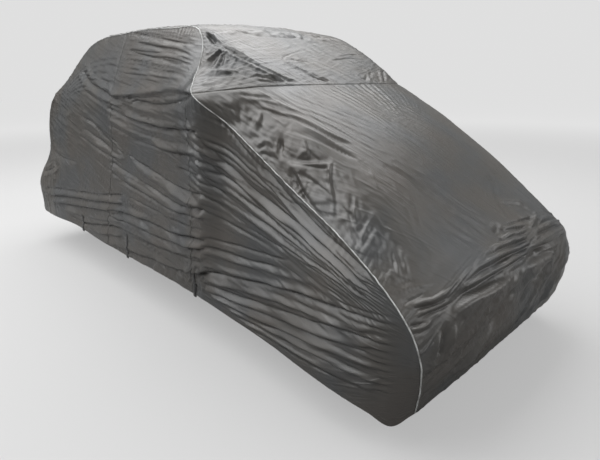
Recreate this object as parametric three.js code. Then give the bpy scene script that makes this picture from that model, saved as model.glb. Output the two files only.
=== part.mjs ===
import * as THREE from "three";

// A fitted cover as it hangs: thin panels of cloth sewn edge to edge, a light piping in the seams
// between the centre strip and the two sides, and webbing straps on the hem. Millimetres, +Z up.
// The front faces -Y, so the right-hand side is at -X. In the tables Z = 0 is the ground and the
// front hem lies a little before Y = 0. The finished group is moved so that its origin is
// ROOF_MOUNT, the point under the middle of the roof where the cover is held up.

const CLOTH = 2;              // thickness of the cloth
const SEAM_HALF_GAP = 0.17;   // half of the gap between two cloths sewn edge to edge
const PIPING_RADIUS = 3;
const PIPING_SIDES = 5;
const PIPING_MARGIN = 3.5;    // from the seam line to the edge of each cloth beside the piping
const PIPING_LEAN = 0.35;     // upward share of the direction in which the piping's first edge points
const ROOF_MOUNT = [0, 1900, 1868];

// Cross-section of the centre strip: a crowned middle, a rounded bend and a fall to the seam.
const BEND_SHARE = 0.78;      // where the bend lies, as a share of the half width
const BEND_ROUNDING = 0.1;    // half width of the rounded bend, as a share
const CROWN_POWER = 2.6;      // how flat the middle is between the two bends

const STRIP_COLUMNS = 18;
const SIDE_ROWS = 13;
const WAIST_HEIGHT = 1430;    // the side leans outward below this height and inward above it
const WAIST_ROUNDING = 100;   // half height of the rounded change between the two
const CORNER_FADE = 14;       // power by which the bow of a side's front and rear edge dies out
const LEFT_SHIFT = 45;        // the left side's folds lie this much further back than the right's
const LEFT_STRENGTH = 0.85;   // and are this much as high

const CALM_BAND = 90;         // folds fade over this distance from a seam
const FOLD_SAMPLES = 24;      // steps along a fold when the nearest point is looked for
const FOLD_REACH = 3;         // a fold is felt up to this many widths away
const FOLD_TAPER = 2.5;       // it dies out at its ends over this many widths
const FOLD_END = 0.25;        // to this share of its height
const FOLD_DIP = 0.5;         // depth of the shallow valleys beside a ridge

// The centre strip, from the front hem to the rear hem. mid is its middle line (x = 0) as [y, z],
// bend is where it bends over to the side and seam is where it meets the side. cuts is the number
// of facets from this row to the next.
const SECTIONS = [
  { name: "front hem",      mid: [-475, 285],  bend: [550, -460, 262],  seam: [780, -400, 185],  cuts: 2 },
  { name: "front face",     mid: [-520, 450],  bend: [560, -505, 420],  seam: [820, -440, 360],  cuts: 1 },
  { name: "under the nose", mid: [-530, 620],  bend: [580, -515, 560],  seam: [840, -445, 460],  cuts: 2 },
  { name: "nose",           mid: [-490, 755],  bend: [600, -470, 690],  seam: [850, -410, 570],  cuts: 2 },
  { name: "nose top",       mid: [-360, 860],  bend: [620, -350, 790],  seam: [850, -335, 660],  cuts: 2 },
  { name: "slope start",    mid: [-220, 955],  bend: [640, -215, 890],  seam: [840, -220, 750],  cuts: 2 },
  { name: "front slope",    mid: [-50, 1085],  bend: [660, -50, 1015],  seam: [820, -50, 850],   cuts: 3 },
  { name: "slope middle",   mid: [200, 1255],  bend: [670, 180, 1165],  seam: [785, 250, 990],   cuts: 2 },
  { name: "slope end",      mid: [380, 1355],  bend: [670, 360, 1285],  seam: [780, 400, 1070],  cuts: 2 },
  { name: "shelf",          mid: [500, 1420],  bend: [660, 500, 1365],  seam: [790, 590, 1190],  cuts: 1 },
  { name: "below the seam", mid: [560, 1450],  bend: [650, 600, 1425],  seam: [800, 770, 1300],  cuts: 2 },
  { name: "cross seam",     mid: [620, 1485],  bend: [630, 700, 1480],  seam: [880, 955, 1450],  cuts: 1 },
  { name: "shoulder point", mid: [720, 1545],  bend: [620, 790, 1560],  seam: [820, 1030, 1500], cuts: 2 },
  { name: "upper slope",    mid: [900, 1650],  bend: [610, 920, 1655],  seam: [700, 1130, 1610], cuts: 1 },
  { name: "slope top",      mid: [1030, 1725], bend: [610, 1030, 1715], seam: [640, 1180, 1705], cuts: 1 },
  { name: "roof front",     mid: [1150, 1800], bend: [570, 1150, 1785], seam: [600, 1260, 1785], cuts: 2 },
  { name: "roof",           mid: [1600, 1860], bend: [520, 1600, 1848], seam: [590, 1600, 1830], cuts: 3 },
  { name: "roof middle",    mid: [2200, 1880], bend: [520, 2200, 1868], seam: [590, 2200, 1848], cuts: 4 },
  { name: "roof rear",      mid: [2900, 1840], bend: [520, 2880, 1825], seam: [590, 2850, 1800], cuts: 3 },
  { name: "tail slope",     mid: [3400, 1600], bend: [550, 3380, 1580], seam: [640, 3350, 1545], cuts: 2 },
  { name: "tail",           mid: [3820, 1370], bend: [600, 3790, 1350], seam: [700, 3700, 1330], cuts: 2 },
  { name: "rear face top",  mid: [3960, 1120], bend: [620, 3930, 1120], seam: [715, 3810, 1130], cuts: 2 },
  { name: "rear face",      mid: [3970, 860],  bend: [640, 3955, 860],  seam: [735, 3830, 900],  cuts: 2 },
  { name: "rear skirt",     mid: [3980, 600],  bend: [700, 3975, 600],  seam: [860, 3890, 580],  cuts: 2 },
  { name: "rear hem",       mid: [3960, 370],  bend: [720, 3950, 360],  seam: [850, 3900, 345],  cuts: 0 },
];
const FRONT_CORNER_ROW = 3;   // rows of SECTIONS between which the side hangs from the seam
const FRONT_SIDE_END_ROW = 12;
const MIDDLE_SIDE_END_ROW = 17;
const REAR_CORNER_ROW = 20;
const CROSS_SEAM_ROW = 11;
const ROOF_END_ROW = 18;
const LAST_ROW = SECTIONS.length - 1;

// The hem of a side as [x, y, z], from the front corner to the rear corner.
const SIDE_HEM = [
  [780, -400, 185], [850, -330, 125], [885, -240, 165], [900, -120, 185], [900, 80, 205],
  [885, 370, 225], [880, 650, 240], [880, 1000, 265], [880, 1500, 285], [880, 2000, 285],
  [880, 2500, 295], [880, 3000, 325], [890, 3400, 320], [885, 3650, 315], [875, 3820, 320],
  [850, 3900, 345],
];
const SIDE_END_Y = SIDE_HEM.at(-1)[1];

// Half width of the side at its waist, behind the shoulder point.
const WAIST = [
  { y: 955, x: 884 }, { y: 1150, x: 850 }, { y: 1500, x: 800 }, { y: 2200, x: 752 },
  { y: 3000, x: 735 }, { y: 3600, x: 715 }, { y: 3900, x: 700 },
];

// Broad swells that push the side outward: centre, half lengths and height.
const SWELLS = [
  { name: "front bulge", y: -20,  z: 450, along: 420, up: 320, out: 26 },
  { name: "rear bulge",  y: 3450, z: 500, along: 380, up: 260, out: 26 },
  { name: "mid hollow",  y: 2000, z: 980, along: 900, up: 260, out: -22 },
];

// Main folds of the right-hand side as ridges (height above zero) and troughs (below zero).
// Each runs through three points given as [y, z]; width is half the width of the fold.
const SIDE_FOLDS = [
  { from: [955, 1225],  by: [300, 930],   to: [-220, 710],  width: 34, height: 15 },
  { from: [955, 1130],  by: [300, 860],   to: [-240, 672],  width: 34, height: -13 },
  { from: [955, 1040],  by: [300, 800],   to: [-240, 640],  width: 36, height: 14 },
  { from: [1000, 640],  by: [300, 600],   to: [-260, 590],  width: 38, height: 10 },
  { from: [1000, 460],  by: [200, 525],   to: [-260, 560],  width: 30, height: -18 },
  { from: [1000, 410],  by: [250, 480],   to: [-260, 500],  width: 34, height: 15 },
  { from: [1000, 345],  by: [250, 400],   to: [-260, 440],  width: 30, height: -16 },
  { from: [850, 300],   by: [250, 345],   to: [-260, 375],  width: 34, height: 14 },
  { from: [2300, 1450], by: [1700, 1458], to: [1130, 1445], width: 46, height: 22 },
  { from: [1950, 1370], by: [1550, 1362], to: [1120, 1352], width: 46, height: -22 },
  { from: [2100, 1300], by: [1500, 1255], to: [1010, 1215], width: 40, height: -18 },
  { from: [1950, 1000], by: [1500, 955],  to: [930, 895],   width: 36, height: -14 },
  { from: [2150, 965],  by: [1500, 905],  to: [950, 860],   width: 38, height: 15 },
  { from: [2200, 925],  by: [1600, 865],  to: [960, 820],   width: 34, height: -14 },
  { from: [2150, 700],  by: [1600, 690],  to: [1050, 700],  width: 42, height: 12 },
  { from: [2150, 550],  by: [1600, 570],  to: [800, 605],   width: 36, height: -18 },
  { from: [2200, 500],  by: [1600, 510],  to: [1000, 540],  width: 40, height: 14 },
  { from: [2100, 330],  by: [1500, 370],  to: [1000, 430],  width: 34, height: -16 },
  { from: [2100, 1790], by: [1650, 1765], to: [1290, 1730], width: 34, height: -14 },
  { from: [2050, 1680], by: [1650, 1660], to: [1280, 1640], width: 34, height: 12 },
  { from: [2900, 1620], by: [2650, 1540], to: [2380, 1470], width: 46, height: 14 },
  { from: [2850, 1260], by: [2550, 1170], to: [2250, 1090], width: 44, height: -14 },
  { from: [2950, 1150], by: [2600, 1060], to: [2280, 990],  width: 46, height: 12 },
  { from: [3700, 630],  by: [3000, 600],  to: [2180, 640],  width: 44, height: -16 },
  { from: [3700, 560],  by: [3000, 545],  to: [2180, 600],  width: 40, height: 14 },
  { from: [3600, 480],  by: [2900, 490],  to: [2150, 560],  width: 36, height: -16 },
  { from: [2850, 385],  by: [2500, 410],  to: [2120, 470],  width: 34, height: -14 },
];

// Main folds of the centre strip. Points are [across, along]: millimetres from the middle line
// (-X is the right-hand side) and along the cloth from the front hem.
const STRIP_FOLDS = [
  { from: [-660, 500],  by: [-250, 500],  to: [380, 520],   width: 62, height: 26 },
  { from: [-600, 400],  by: [-250, 400],  to: [420, 420],   width: 56, height: -22 },
  { from: [-690, 60],   by: [-640, 200],  to: [-600, 400],  width: 60, height: -22 },
  { from: [-560, 80],   by: [-420, 260],  to: [-250, 400],  width: 66, height: 24 },
  { from: [-20, 60],    by: [60, 220],    to: [160, 390],   width: 66, height: 20 },
  { from: [-210, 660],  by: [-120, 630],  to: [-20, 600],   width: 80, height: -34 },
  { from: [60, 640],    by: [190, 690],   to: [330, 690],   width: 66, height: 22 },
  { from: [-430, 1150], by: [-330, 930],  to: [-170, 700],  width: 62, height: -16 },
  { from: [-320, 1150], by: [-220, 930],  to: [-60, 720],   width: 62, height: 18 },
  { from: [-640, 1740], by: [-520, 1500], to: [-380, 1200], width: 60, height: -24 },
  { from: [-540, 1770], by: [-410, 1520], to: [-270, 1180], width: 60, height: 22 },
  { from: [-430, 1790], by: [-290, 1540], to: [-120, 1230], width: 60, height: -16 },
  { from: [-600, 2130], by: [-440, 1990], to: [-320, 1870], width: 60, height: -28 },
  { from: [-280, 2130], by: [-170, 1990], to: [-40, 1850],  width: 60, height: -26 },
  { from: [-550, 1350], by: [-690, 1440], to: [-740, 1620], width: 72, height: -38 },
  { from: [-540, 1310], by: [-620, 1310], to: [-700, 1330], width: 60, height: 28 },
  { from: [-640, 1290], by: [-690, 1200], to: [-730, 1080], width: 56, height: 24 },
  { from: [-780, 560],  by: [-690, 560],  to: [-560, 600],  width: 50, height: 20 },
  { from: [-560, 2410], by: [-200, 2430], to: [300, 2410],  width: 60, height: 12 },
  { from: [300, 1920],  by: [460, 1920],  to: [640, 1930],  width: 56, height: 16 },
  { from: [-400, 4300], by: [0, 4330],    to: [400, 4290],  width: 90, height: 20 },
  { from: [-420, 4500], by: [-60, 4900],  to: [200, 5300],  width: 80, height: -24 },
  { from: [380, 4450],  by: [260, 4900],  to: [120, 5350],  width: 80, height: 22 },
  { from: [-500, 6100], by: [-420, 5850], to: [-300, 5600], width: 70, height: 22 },
  { from: [420, 6080],  by: [380, 5850],  to: [300, 5620],  width: 70, height: -22 },
];

const STRIP_PANELS = [
  { name: "hood_panel", from: 0, to: CROSS_SEAM_ROW },
  { name: "roof_panel", from: CROSS_SEAM_ROW, to: ROOF_END_ROW },
  { name: "rear_panel", from: ROOF_END_ROW, to: LAST_ROW },
];
const SIDE_PANELS = [
  { name: "front_side", from: FRONT_CORNER_ROW, to: FRONT_SIDE_END_ROW },
  { name: "middle_side", from: FRONT_SIDE_END_ROW, to: MIDDLE_SIDE_END_ROW },
  { name: "rear_side", from: MIDDLE_SIDE_END_ROW, to: REAR_CORNER_ROW },
];

// Webbing straps sewn on the outside of the hem, looped under it and tucked up inside.
const WEBBING = 1.5;
const STRAP_WIDTH = 25;
const STRAP_CLEARANCE = 0.6;
const STRAP_LOOP = 18;        // how far the loop hangs below the hem
const STRAP_TUCK = 26;        // how far it runs up again inside
const LOOP_BEND = 0.45;       // half width of the loop's flat bottom, as a share of the loop's
const AT_HEM = 0.01;          // just above the cloth's lower edge, in rows of the side
const STRAPS = [
  { name: "strap_front",  y: 1090, top: 175 },
  { name: "strap_middle", y: 2000, top: 165 },
  { name: "strap_rear",   y: 2830, top: 130 },
];

const MATERIALS = {
  cloth: new THREE.MeshStandardMaterial({ color: 0x454442, roughness: 0.55, metalness: 0 }),
  piping: new THREE.MeshStandardMaterial({ color: 0xc9c9c4, roughness: 0.35, metalness: 0 }),
  webbing: new THREE.MeshStandardMaterial({ color: 0x161616, roughness: 0.8, metalness: 0 }),
};

const { clamp, lerp } = THREE.MathUtils;
const vec = (x, y, z) => new THREE.Vector3(x, y, z);

const smooth = (value) => {
  const v = clamp(value, 0, 1);
  return v * v * (3 - 2 * v);
};

// A smooth curve through a list of points, as a function of the place in the list. Its slope at a
// point weighs the two neighbouring spans by their lengths, so uneven spacing doesn't overshoot.
function curveThrough(points) {
  const last = points.length - 1;
  const slope = (a, b, c, span) => {
    const before = a.distanceTo(b);
    const after = b.distanceTo(c);
    const whole = before + after;
    const first = b.clone().sub(a).multiplyScalar(after / (before * whole));
    const second = c.clone().sub(b).multiplyScalar(before / (after * whole));
    return first.add(second).multiplyScalar(span);
  };
  return (place) => {
    const row = Math.min(Math.floor(place), last - 1);
    const f = place - row;
    const start = points[row];
    const end = points[row + 1];
    const before = row > 0 ? points[row - 1] : start.clone().multiplyScalar(2).sub(end);
    const after = row + 2 <= last ? points[row + 2] : end.clone().multiplyScalar(2).sub(start);
    const span = start.distanceTo(end);
    return start.clone().multiplyScalar(2 * f ** 3 - 3 * f ** 2 + 1)
      .add(slope(before, start, end, span).multiplyScalar(f ** 3 - 2 * f ** 2 + f))
      .add(end.clone().multiplyScalar(-2 * f ** 3 + 3 * f ** 2))
      .add(slope(start, end, after, span).multiplyScalar(f ** 3 - f ** 2));
  };
}

const midLine = curveThrough(SECTIONS.map((s) => vec(0, s.mid[0], s.mid[1])));
const bendLine = curveThrough(SECTIONS.map((s) => vec(...s.bend)));
const seamLine = curveThrough(SECTIONS.map((s) => vec(...s.seam)));
const hemLine = curveThrough(SIDE_HEM.map((p) => vec(...p)));

// Places in SECTIONS at which the strip, the piping and the sides share their facets.
const STEPS = SECTIONS.flatMap((s, row) => Array.from({ length: s.cuts }, (_, k) => row + k / s.cuts));
STEPS.push(LAST_ROW);
const stepOf = (row) => STEPS.findIndex((place) => Math.abs(place - row) < 1e-6);
const SEAM_POINTS = STEPS.map((place) => seamLine(place));
const FRONT_STEP = stepOf(FRONT_CORNER_ROW);
const REAR_STEP = stepOf(REAR_CORNER_ROW);

// Length along the middle line from the front hem to each step.
const LENGTH_SAMPLES = 8;
const ALONG = [0];
for (let step = 1; step < STEPS.length; step += 1) {
  let length = ALONG[step - 1];
  for (let i = 1; i <= LENGTH_SAMPLES; i += 1) {
    const here = lerp(STEPS[step - 1], STEPS[step], i / LENGTH_SAMPLES);
    const before = lerp(STEPS[step - 1], STEPS[step], (i - 1) / LENGTH_SAMPLES);
    length += midLine(here).distanceTo(midLine(before));
  }
  ALONG.push(length);
}

// Height of one fold at a point (u, v) of its table's flat plan.
function foldAt(fold, u, v) {
  const farAway = FOLD_REACH * fold.width;
  const spanU = [fold.from[0], fold.by[0], fold.to[0]];
  if (u < Math.min(...spanU) - farAway || u > Math.max(...spanU) + farAway) return 0;
  const bend = [0, 1].map((k) => 2 * fold.by[k] - 0.5 * (fold.from[k] + fold.to[k]));
  let nearest = Infinity;
  let place = 0;
  for (let i = 0; i <= FOLD_SAMPLES; i += 1) {
    const t = i / FOLD_SAMPLES;
    const on = (k) => (1 - t) ** 2 * fold.from[k] + 2 * t * (1 - t) * bend[k] + t * t * fold.to[k];
    const distance = Math.hypot(u - on(0), v - on(1));
    if (distance < nearest) [nearest, place] = [distance, t];
  }
  const length = Math.hypot(fold.to[0] - fold.from[0], fold.to[1] - fold.from[1]);
  const taperLength = FOLD_TAPER * fold.width;
  const taper = smooth((place * length) / taperLength) * smooth(((1 - place) * length) / taperLength);
  const q = (nearest / fold.width) ** 2;
  return fold.height * (1 - FOLD_DIP * q) * Math.exp(-q) * lerp(FOLD_END, 1, taper);
}

const foldHeight = (folds, u, v) => folds.reduce((sum, fold) => sum + foldAt(fold, u, v), 0);

// Folds are flat on the seams and at full height a little way in, so that edges keep their line.
const calm = (distance) => smooth(distance / CALM_BAND);

// A point of the centre strip before its folds: place in SECTIONS and share of the half width.
function stripPoint(place, share) {
  const mid = midLine(place);
  const bend = bendLine(place);
  const seam = seamLine(place);
  const out = Math.abs(share);
  const onTop = (s) => {
    const fall = (s / BEND_SHARE) ** CROWN_POWER;
    return vec((bend.x * s) / BEND_SHARE, lerp(mid.y, bend.y, fall), lerp(mid.z, bend.z, fall));
  };
  const beyond = (s) => bend.clone().lerp(seam, (s - BEND_SHARE) / (1 - BEND_SHARE));
  const roundStart = BEND_SHARE - BEND_ROUNDING;
  const roundEnd = BEND_SHARE + BEND_ROUNDING;
  const k = clamp((out - roundStart) / (roundEnd - roundStart), 0, 1);
  let point = out <= roundStart ? onTop(out) : beyond(out);
  if (k > 0 && k < 1) {
    point = onTop(roundStart).multiplyScalar((1 - k) ** 2)
      .add(bend.clone().multiplyScalar(2 * k * (1 - k)))
      .add(beyond(roundEnd).multiplyScalar(k * k));
  }
  point.x *= Math.sign(share);
  return point;
}

function waistAt(y) {
  const row = clamp(WAIST.findIndex((r) => r.y > y), 1, WAIST.length - 1);
  const [before, after] = [WAIST[row - 1], WAIST[row]];
  return lerp(before.x, after.x, clamp((y - before.y) / (after.y - before.y), 0, 1));
}

// Hem point of the side at a y between its two ends.
const HEM_SAMPLES = 240;
const HEM_POINTS = Array.from({ length: HEM_SAMPLES + 1 }, (_, k) => (
  hemLine((k / HEM_SAMPLES) * (SIDE_HEM.length - 1))
));
function hemAt(y) {
  const found = HEM_POINTS.findIndex((p) => p.y >= y);
  const k = found < 0 ? HEM_SAMPLES : Math.max(found, 1);
  const [before, after] = [HEM_POINTS[k - 1], HEM_POINTS[k]];
  return before.clone().lerp(after, clamp((y - before.y) / (after.y - before.y), 0, 1));
}

// Half width of the side at a point between the hem and the seam point `top` above it.
function sideReach(hem, top, point, up) {
  if (top.z <= WAIST_HEIGHT) return lerp(hem.x, top.x, up);
  const waist = waistAt(point.y);
  const lower = (z) => lerp(hem.x, waist, (z - hem.z) / (WAIST_HEIGHT - hem.z));
  const upper = (z) => lerp(waist, top.x, (z - WAIST_HEIGHT) / (top.z - WAIST_HEIGHT));
  const round = Math.min(WAIST_ROUNDING, top.z - WAIST_HEIGHT);
  const t = (point.z - WAIST_HEIGHT + round) / (2 * round);
  if (t <= 0) return lower(point.z);
  if (t >= 1) return upper(point.z);
  const [start, end] = [lower(WAIST_HEIGHT - round), upper(WAIST_HEIGHT + round)];
  return (1 - t) ** 2 * start + 2 * t * (1 - t) * waist + t * t * end;
}

// A point on the seam, given as a place between two of its steps.
function onSeam(from, to, share) {
  const place = lerp(from, to, share);
  const step = clamp(Math.floor(place), 0, SEAM_POINTS.length - 2);
  return SEAM_POINTS[step].clone().lerp(SEAM_POINTS[step + 1], place - step);
}

// A point of the left side before its folds. step is a step between the two corners, up is 0 at
// the hem and 1 at the seam.
function sidePoint(step, up) {
  const lastStep = SEAM_POINTS.length - 1;
  const [front, rear] = [SEAM_POINTS[FRONT_STEP], SEAM_POINTS[REAR_STEP]];
  const [frontHem, rearHem] = [SEAM_POINTS[0], SEAM_POINTS[lastStep]];
  const top = SEAM_POINTS[step];
  const along = (top.y - front.y) / (rear.y - front.y);
  const hem = hemAt(lerp(frontHem.y, rearHem.y, along));
  const point = hem.clone().lerp(top, up);
  const nearFront = (1 - along) ** CORNER_FADE;
  const nearRear = along ** CORNER_FADE;
  point.x = lerp(sideReach(hem, top, point, up), point.x, Math.min(1, nearFront + nearRear));
  const frontBow = onSeam(0, FRONT_STEP, up).sub(frontHem.clone().lerp(front, up));
  const rearBow = onSeam(lastStep, REAR_STEP, up).sub(rearHem.clone().lerp(rear, up));
  return point.add(frontBow.multiplyScalar(nearFront)).add(rearBow.multiplyScalar(nearRear));
}

// Grid of the centre strip's middle surface: a row for each step, from the right seam to the left.
const SLOPE_STEP = 0.02;
const STRIP_HALF_WIDTH = 800;
function stripGrid() {
  return STEPS.map((place, step) => Array.from({ length: STRIP_COLUMNS + 1 }, (_, column) => {
    const share = -1 + (2 * column) / STRIP_COLUMNS;
    const point = stripPoint(place, share);
    const ahead = stripPoint(Math.min(place + SLOPE_STEP, LAST_ROW), share);
    const behind = stripPoint(Math.max(place - SLOPE_STEP, 0), share);
    const left = stripPoint(place, Math.min(share + SLOPE_STEP, 1));
    const right = stripPoint(place, Math.max(share - SLOPE_STEP, -1));
    const normal = left.sub(right).cross(ahead.sub(behind)).normalize();
    const height = foldHeight(STRIP_FOLDS, point.x, ALONG[step]);
    return point.addScaledVector(normal, height * calm((1 - Math.abs(share)) * STRIP_HALF_WIDTH));
  }));
}

// Grid of a side's middle surface between its two corners. hand is -1 on the right, 1 on the left.
function sideGrid(hand) {
  const shift = hand < 0 ? 0 : LEFT_SHIFT;
  const strength = hand < 0 ? 1 : LEFT_STRENGTH;
  return STEPS.slice(FRONT_STEP, REAR_STEP + 1).map((_, column) => {
    const step = FRONT_STEP + column;
    return Array.from({ length: SIDE_ROWS + 1 }, (_unused, k) => {
      const up = k / SIDE_ROWS;
      const point = sidePoint(step, up);
      const fromFront = point.y - SEAM_POINTS[0].y;
      const fromEdge = Math.min((1 - up) * SEAM_POINTS[step].z, fromFront, SIDE_END_Y - point.y);
      let out = foldHeight(SIDE_FOLDS, point.y - shift, point.z) * strength;
      for (const s of SWELLS) {
        out += s.out * Math.exp(-(((point.y - s.y) / s.along) ** 2) - ((point.z - s.z) / s.up) ** 2);
      }
      point.x = hand * (point.x + out * calm(fromEdge));
      return point;
    });
  });
}

// How an edge point moves inward along the cloth by a margin, square to the edge.
function inwardMove(point, inner, before, after, margin) {
  const along = after.clone().sub(before).normalize();
  const inward = inner.clone().sub(point);
  inward.addScaledVector(along, -inward.dot(along));
  return inward.normalize().multiplyScalar(margin);
}

// A grid with its edges drawn in: margins names the first and last row, and the start and end of
// the rows.
function trimmed(grid, margins) {
  const last = grid.length - 1;
  const end = grid[0].length - 1;
  const result = grid.map((row) => row.map((p) => p.clone()));
  const trim = (i, k, inner, before, after, margin) => {
    if (margin) result[i][k].add(inwardMove(grid[i][k], inner, before, after, margin));
  };
  for (let i = 0; i <= last; i += 1) {
    const before = grid[Math.max(i - 1, 0)];
    const after = grid[Math.min(i + 1, last)];
    trim(i, 0, grid[i][1], before[0], after[0], margins.start);
    trim(i, end, grid[i][end - 1], before[end], after[end], margins.end);
  }
  for (let k = 0; k <= end; k += 1) {
    const [before, after] = [Math.max(k - 1, 0), Math.min(k + 1, end)];
    trim(0, k, grid[1][k], grid[0][before], grid[0][after], margins.first);
    trim(last, k, grid[last - 1][k], grid[last][before], grid[last][after], margins.last);
  }
  return result;
}

// Outward normals at the points of a whole grid, so that panels cut from it meet edge to edge.
function outwardNormals(grid, flip) {
  const [lastRow, lastColumn] = [grid.length - 1, grid[0].length - 1];
  return grid.map((row, i) => row.map((_, k) => {
    const along = grid[Math.min(i + 1, lastRow)][k].clone().sub(grid[Math.max(i - 1, 0)][k]);
    const across = row[Math.min(k + 1, lastColumn)].clone().sub(row[Math.max(k - 1, 0)]);
    return across.cross(along).normalize().multiplyScalar(flip ? -1 : 1);
  }));
}

function geometryOf(points, index) {
  const positions = points.flatMap((p) => p.toArray().map((value, axis) => value - ROOF_MOUNT[axis]));
  const geometry = new THREE.BufferGeometry();
  geometry.setAttribute("position", new THREE.Float32BufferAttribute(positions, 3));
  geometry.setIndex(index);
  geometry.computeVertexNormals();
  return geometry;
}

// Closed sheet of an even thickness around a grid of points; flip turns its winding over.
function sheetGeometry(grid, normals, thickness, flip) {
  const [rows, columns] = [grid.length, grid[0].length];
  const layer = (side) => grid.flatMap((row, i) => row.map((point, k) => (
    point.clone().addScaledVector(normals[i][k], (side * thickness) / 2)
  )));
  const outer = (i, k) => i * columns + k;
  const inner = (i, k) => (rows + i) * columns + k;
  const index = [];
  const quad = (a, b, c, d) => {
    if (flip) index.push(a, c, b, a, d, c);
    else index.push(a, b, c, a, c, d);
  };
  for (let i = 0; i < rows - 1; i += 1) {
    for (let k = 0; k < columns - 1; k += 1) {
      quad(outer(i, k), outer(i, k + 1), outer(i + 1, k + 1), outer(i + 1, k));
      quad(inner(i, k), inner(i + 1, k), inner(i + 1, k + 1), inner(i, k + 1));
    }
  }
  const [end, side] = [rows - 1, columns - 1];
  for (let k = 0; k < columns - 1; k += 1) {
    quad(inner(0, k), inner(0, k + 1), outer(0, k + 1), outer(0, k));
    quad(outer(end, k), outer(end, k + 1), inner(end, k + 1), inner(end, k));
  }
  for (let i = 0; i < rows - 1; i += 1) {
    quad(outer(i, 0), outer(i + 1, 0), inner(i + 1, 0), inner(i, 0));
    quad(inner(i, side), inner(i + 1, side), outer(i + 1, side), outer(i, side));
  }
  return geometryOf([...layer(1), ...layer(-1)], index);
}

// Cord through a list of points, with mitred bends and flat ends.
function cordGeometry(points, radius, sides) {
  const rings = points.map((point, k) => {
    const before = points[Math.max(k - 1, 0)];
    const after = points[Math.min(k + 1, points.length - 1)];
    const along = after.clone().sub(before).normalize();
    const outward = vec(Math.sign(point.x), 0, PIPING_LEAN);
    outward.addScaledVector(along, -outward.dot(along)).normalize();
    const across = along.clone().cross(outward);
    return Array.from({ length: sides }, (_, s) => {
      const angle = (2 * Math.PI * s) / sides;
      return point.clone().addScaledVector(outward, radius * Math.cos(angle))
        .addScaledVector(across, radius * Math.sin(angle));
    });
  });
  const index = [];
  for (let k = 0; k < rings.length - 1; k += 1) {
    for (let s = 0; s < sides; s += 1) {
      const a = k * sides + s;
      const b = k * sides + ((s + 1) % sides);
      index.push(a, b, b + sides, a, b + sides, a + sides);
    }
  }
  const end = (rings.length - 1) * sides;
  for (let s = 1; s < sides - 1; s += 1) {
    index.push(0, s + 1, s);
    index.push(end, end + s, end + s + 1);
  }
  return geometryOf(rings.flat(), index);
}

// Point of a side's faceted surface: f across one of its columns of facets, k up it in rows.
function onFacet(before, after, f, k) {
  const low = Math.floor(k);
  const g = k - low;
  const pairs = g > f
    ? [[before[low + 1], after[low + 1]], [before[low], before[low + 1]]]
    : [[before[low], after[low]], [after[low], after[low + 1]]];
  const [along, up] = pairs.map(([from, to]) => to.clone().sub(from));
  return before[low].clone().addScaledVector(along, f).addScaledVector(up, g);
}

// Centre points of a strap on the faceted side: a row for each bend of its path and a column for
// each of its two long edges. It follows the facets exactly, so the clearance stays even.
function strapGrid(side, strap, hand) {
  const column = side.findIndex((row, i) => side[i + 1][0].y > strap.y);
  const [before, after] = [side[column], side[column + 1]];
  const half = STRAP_WIDTH / 2 / (after[0].y - before[0].y);
  const edges = [0.5 - half, 0.5 + half];
  const rowHeight = before[1].distanceTo(before[0]);
  const away = (CLOTH + WEBBING) / 2 + STRAP_CLEARANCE;
  const top = strap.top / rowHeight;
  const path = [
    ...[top, ...(top > 1 ? [1] : []), edges[1], edges[0], AT_HEM].map((k) => ({ k, down: 0, out: away })),
    { k: AT_HEM, down: STRAP_LOOP - away, out: away },
    { k: AT_HEM, down: STRAP_LOOP, out: away * LOOP_BEND },
    { k: AT_HEM, down: STRAP_LOOP, out: -away * LOOP_BEND },
    { k: AT_HEM, down: STRAP_LOOP - away, out: -away },
    { k: AT_HEM, down: 0, out: -away },
    { k: STRAP_TUCK / rowHeight, down: 0, out: -away },
  ];
  return path.map((p) => edges.map((f) => {
    const up = onFacet(before, after, f, 1).sub(onFacet(before, after, f, 0)).normalize();
    const normal = up.clone().cross(vec(0, 1, 0)).normalize();
    if (normal.x * hand < 0) normal.negate();
    return onFacet(before, after, f, p.k).addScaledVector(up, -p.down).addScaledVector(normal, p.out);
  }));
}

const cover = new THREE.Group();

function addNode(name, geometry, material) {
  const mesh = new THREE.Mesh(geometry, material);
  mesh.name = name;
  cover.add(mesh);
}

// Panels cut from one whole grid, with a sewn gap where two of them meet.
function addPanels(panels, prefix, whole, firstStep, flip) {
  const normals = outwardNormals(whole, flip);
  for (const panel of panels) {
    const [first, last] = [panel.from, panel.to].map((row) => stepOf(row) - firstStep);
    const grid = trimmed(whole.slice(first, last + 1), {
      first: first > 0 ? SEAM_HALF_GAP : 0,
      last: last < whole.length - 1 ? SEAM_HALF_GAP : 0,
    });
    const geometry = sheetGeometry(grid, normals.slice(first, last + 1), CLOTH, flip);
    addNode(prefix + panel.name, geometry, MATERIALS.cloth);
  }
}

// Centre strip: hood panel, roof panel and rear panel.
const strip = trimmed(stripGrid(), { start: PIPING_MARGIN, end: PIPING_MARGIN });
addPanels(STRIP_PANELS, "", strip, 0, false);

// Each side: three panels from the front corner to the rear corner, its straps and its piping.
for (const [side, hand] of [["right", -1], ["left", 1]]) {
  const margins = { end: PIPING_MARGIN, first: PIPING_MARGIN, last: PIPING_MARGIN };
  const wholeSide = trimmed(sideGrid(hand), margins);
  addPanels(SIDE_PANELS, `${side}_`, wholeSide, FRONT_STEP, hand > 0);
  for (const strap of STRAPS) {
    const grid = strapGrid(wholeSide, strap, hand);
    const geometry = sheetGeometry(grid, outwardNormals(grid, hand < 0), WEBBING, hand < 0);
    addNode(`${side}_${strap.name}`, geometry, MATERIALS.webbing);
  }
  const line = SEAM_POINTS.map((p) => vec(p.x * hand, p.y, p.z));
  addNode(`${side}_piping`, cordGeometry(line, PIPING_RADIUS, PIPING_SIDES), MATERIALS.piping);
}

export default cover;
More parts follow.
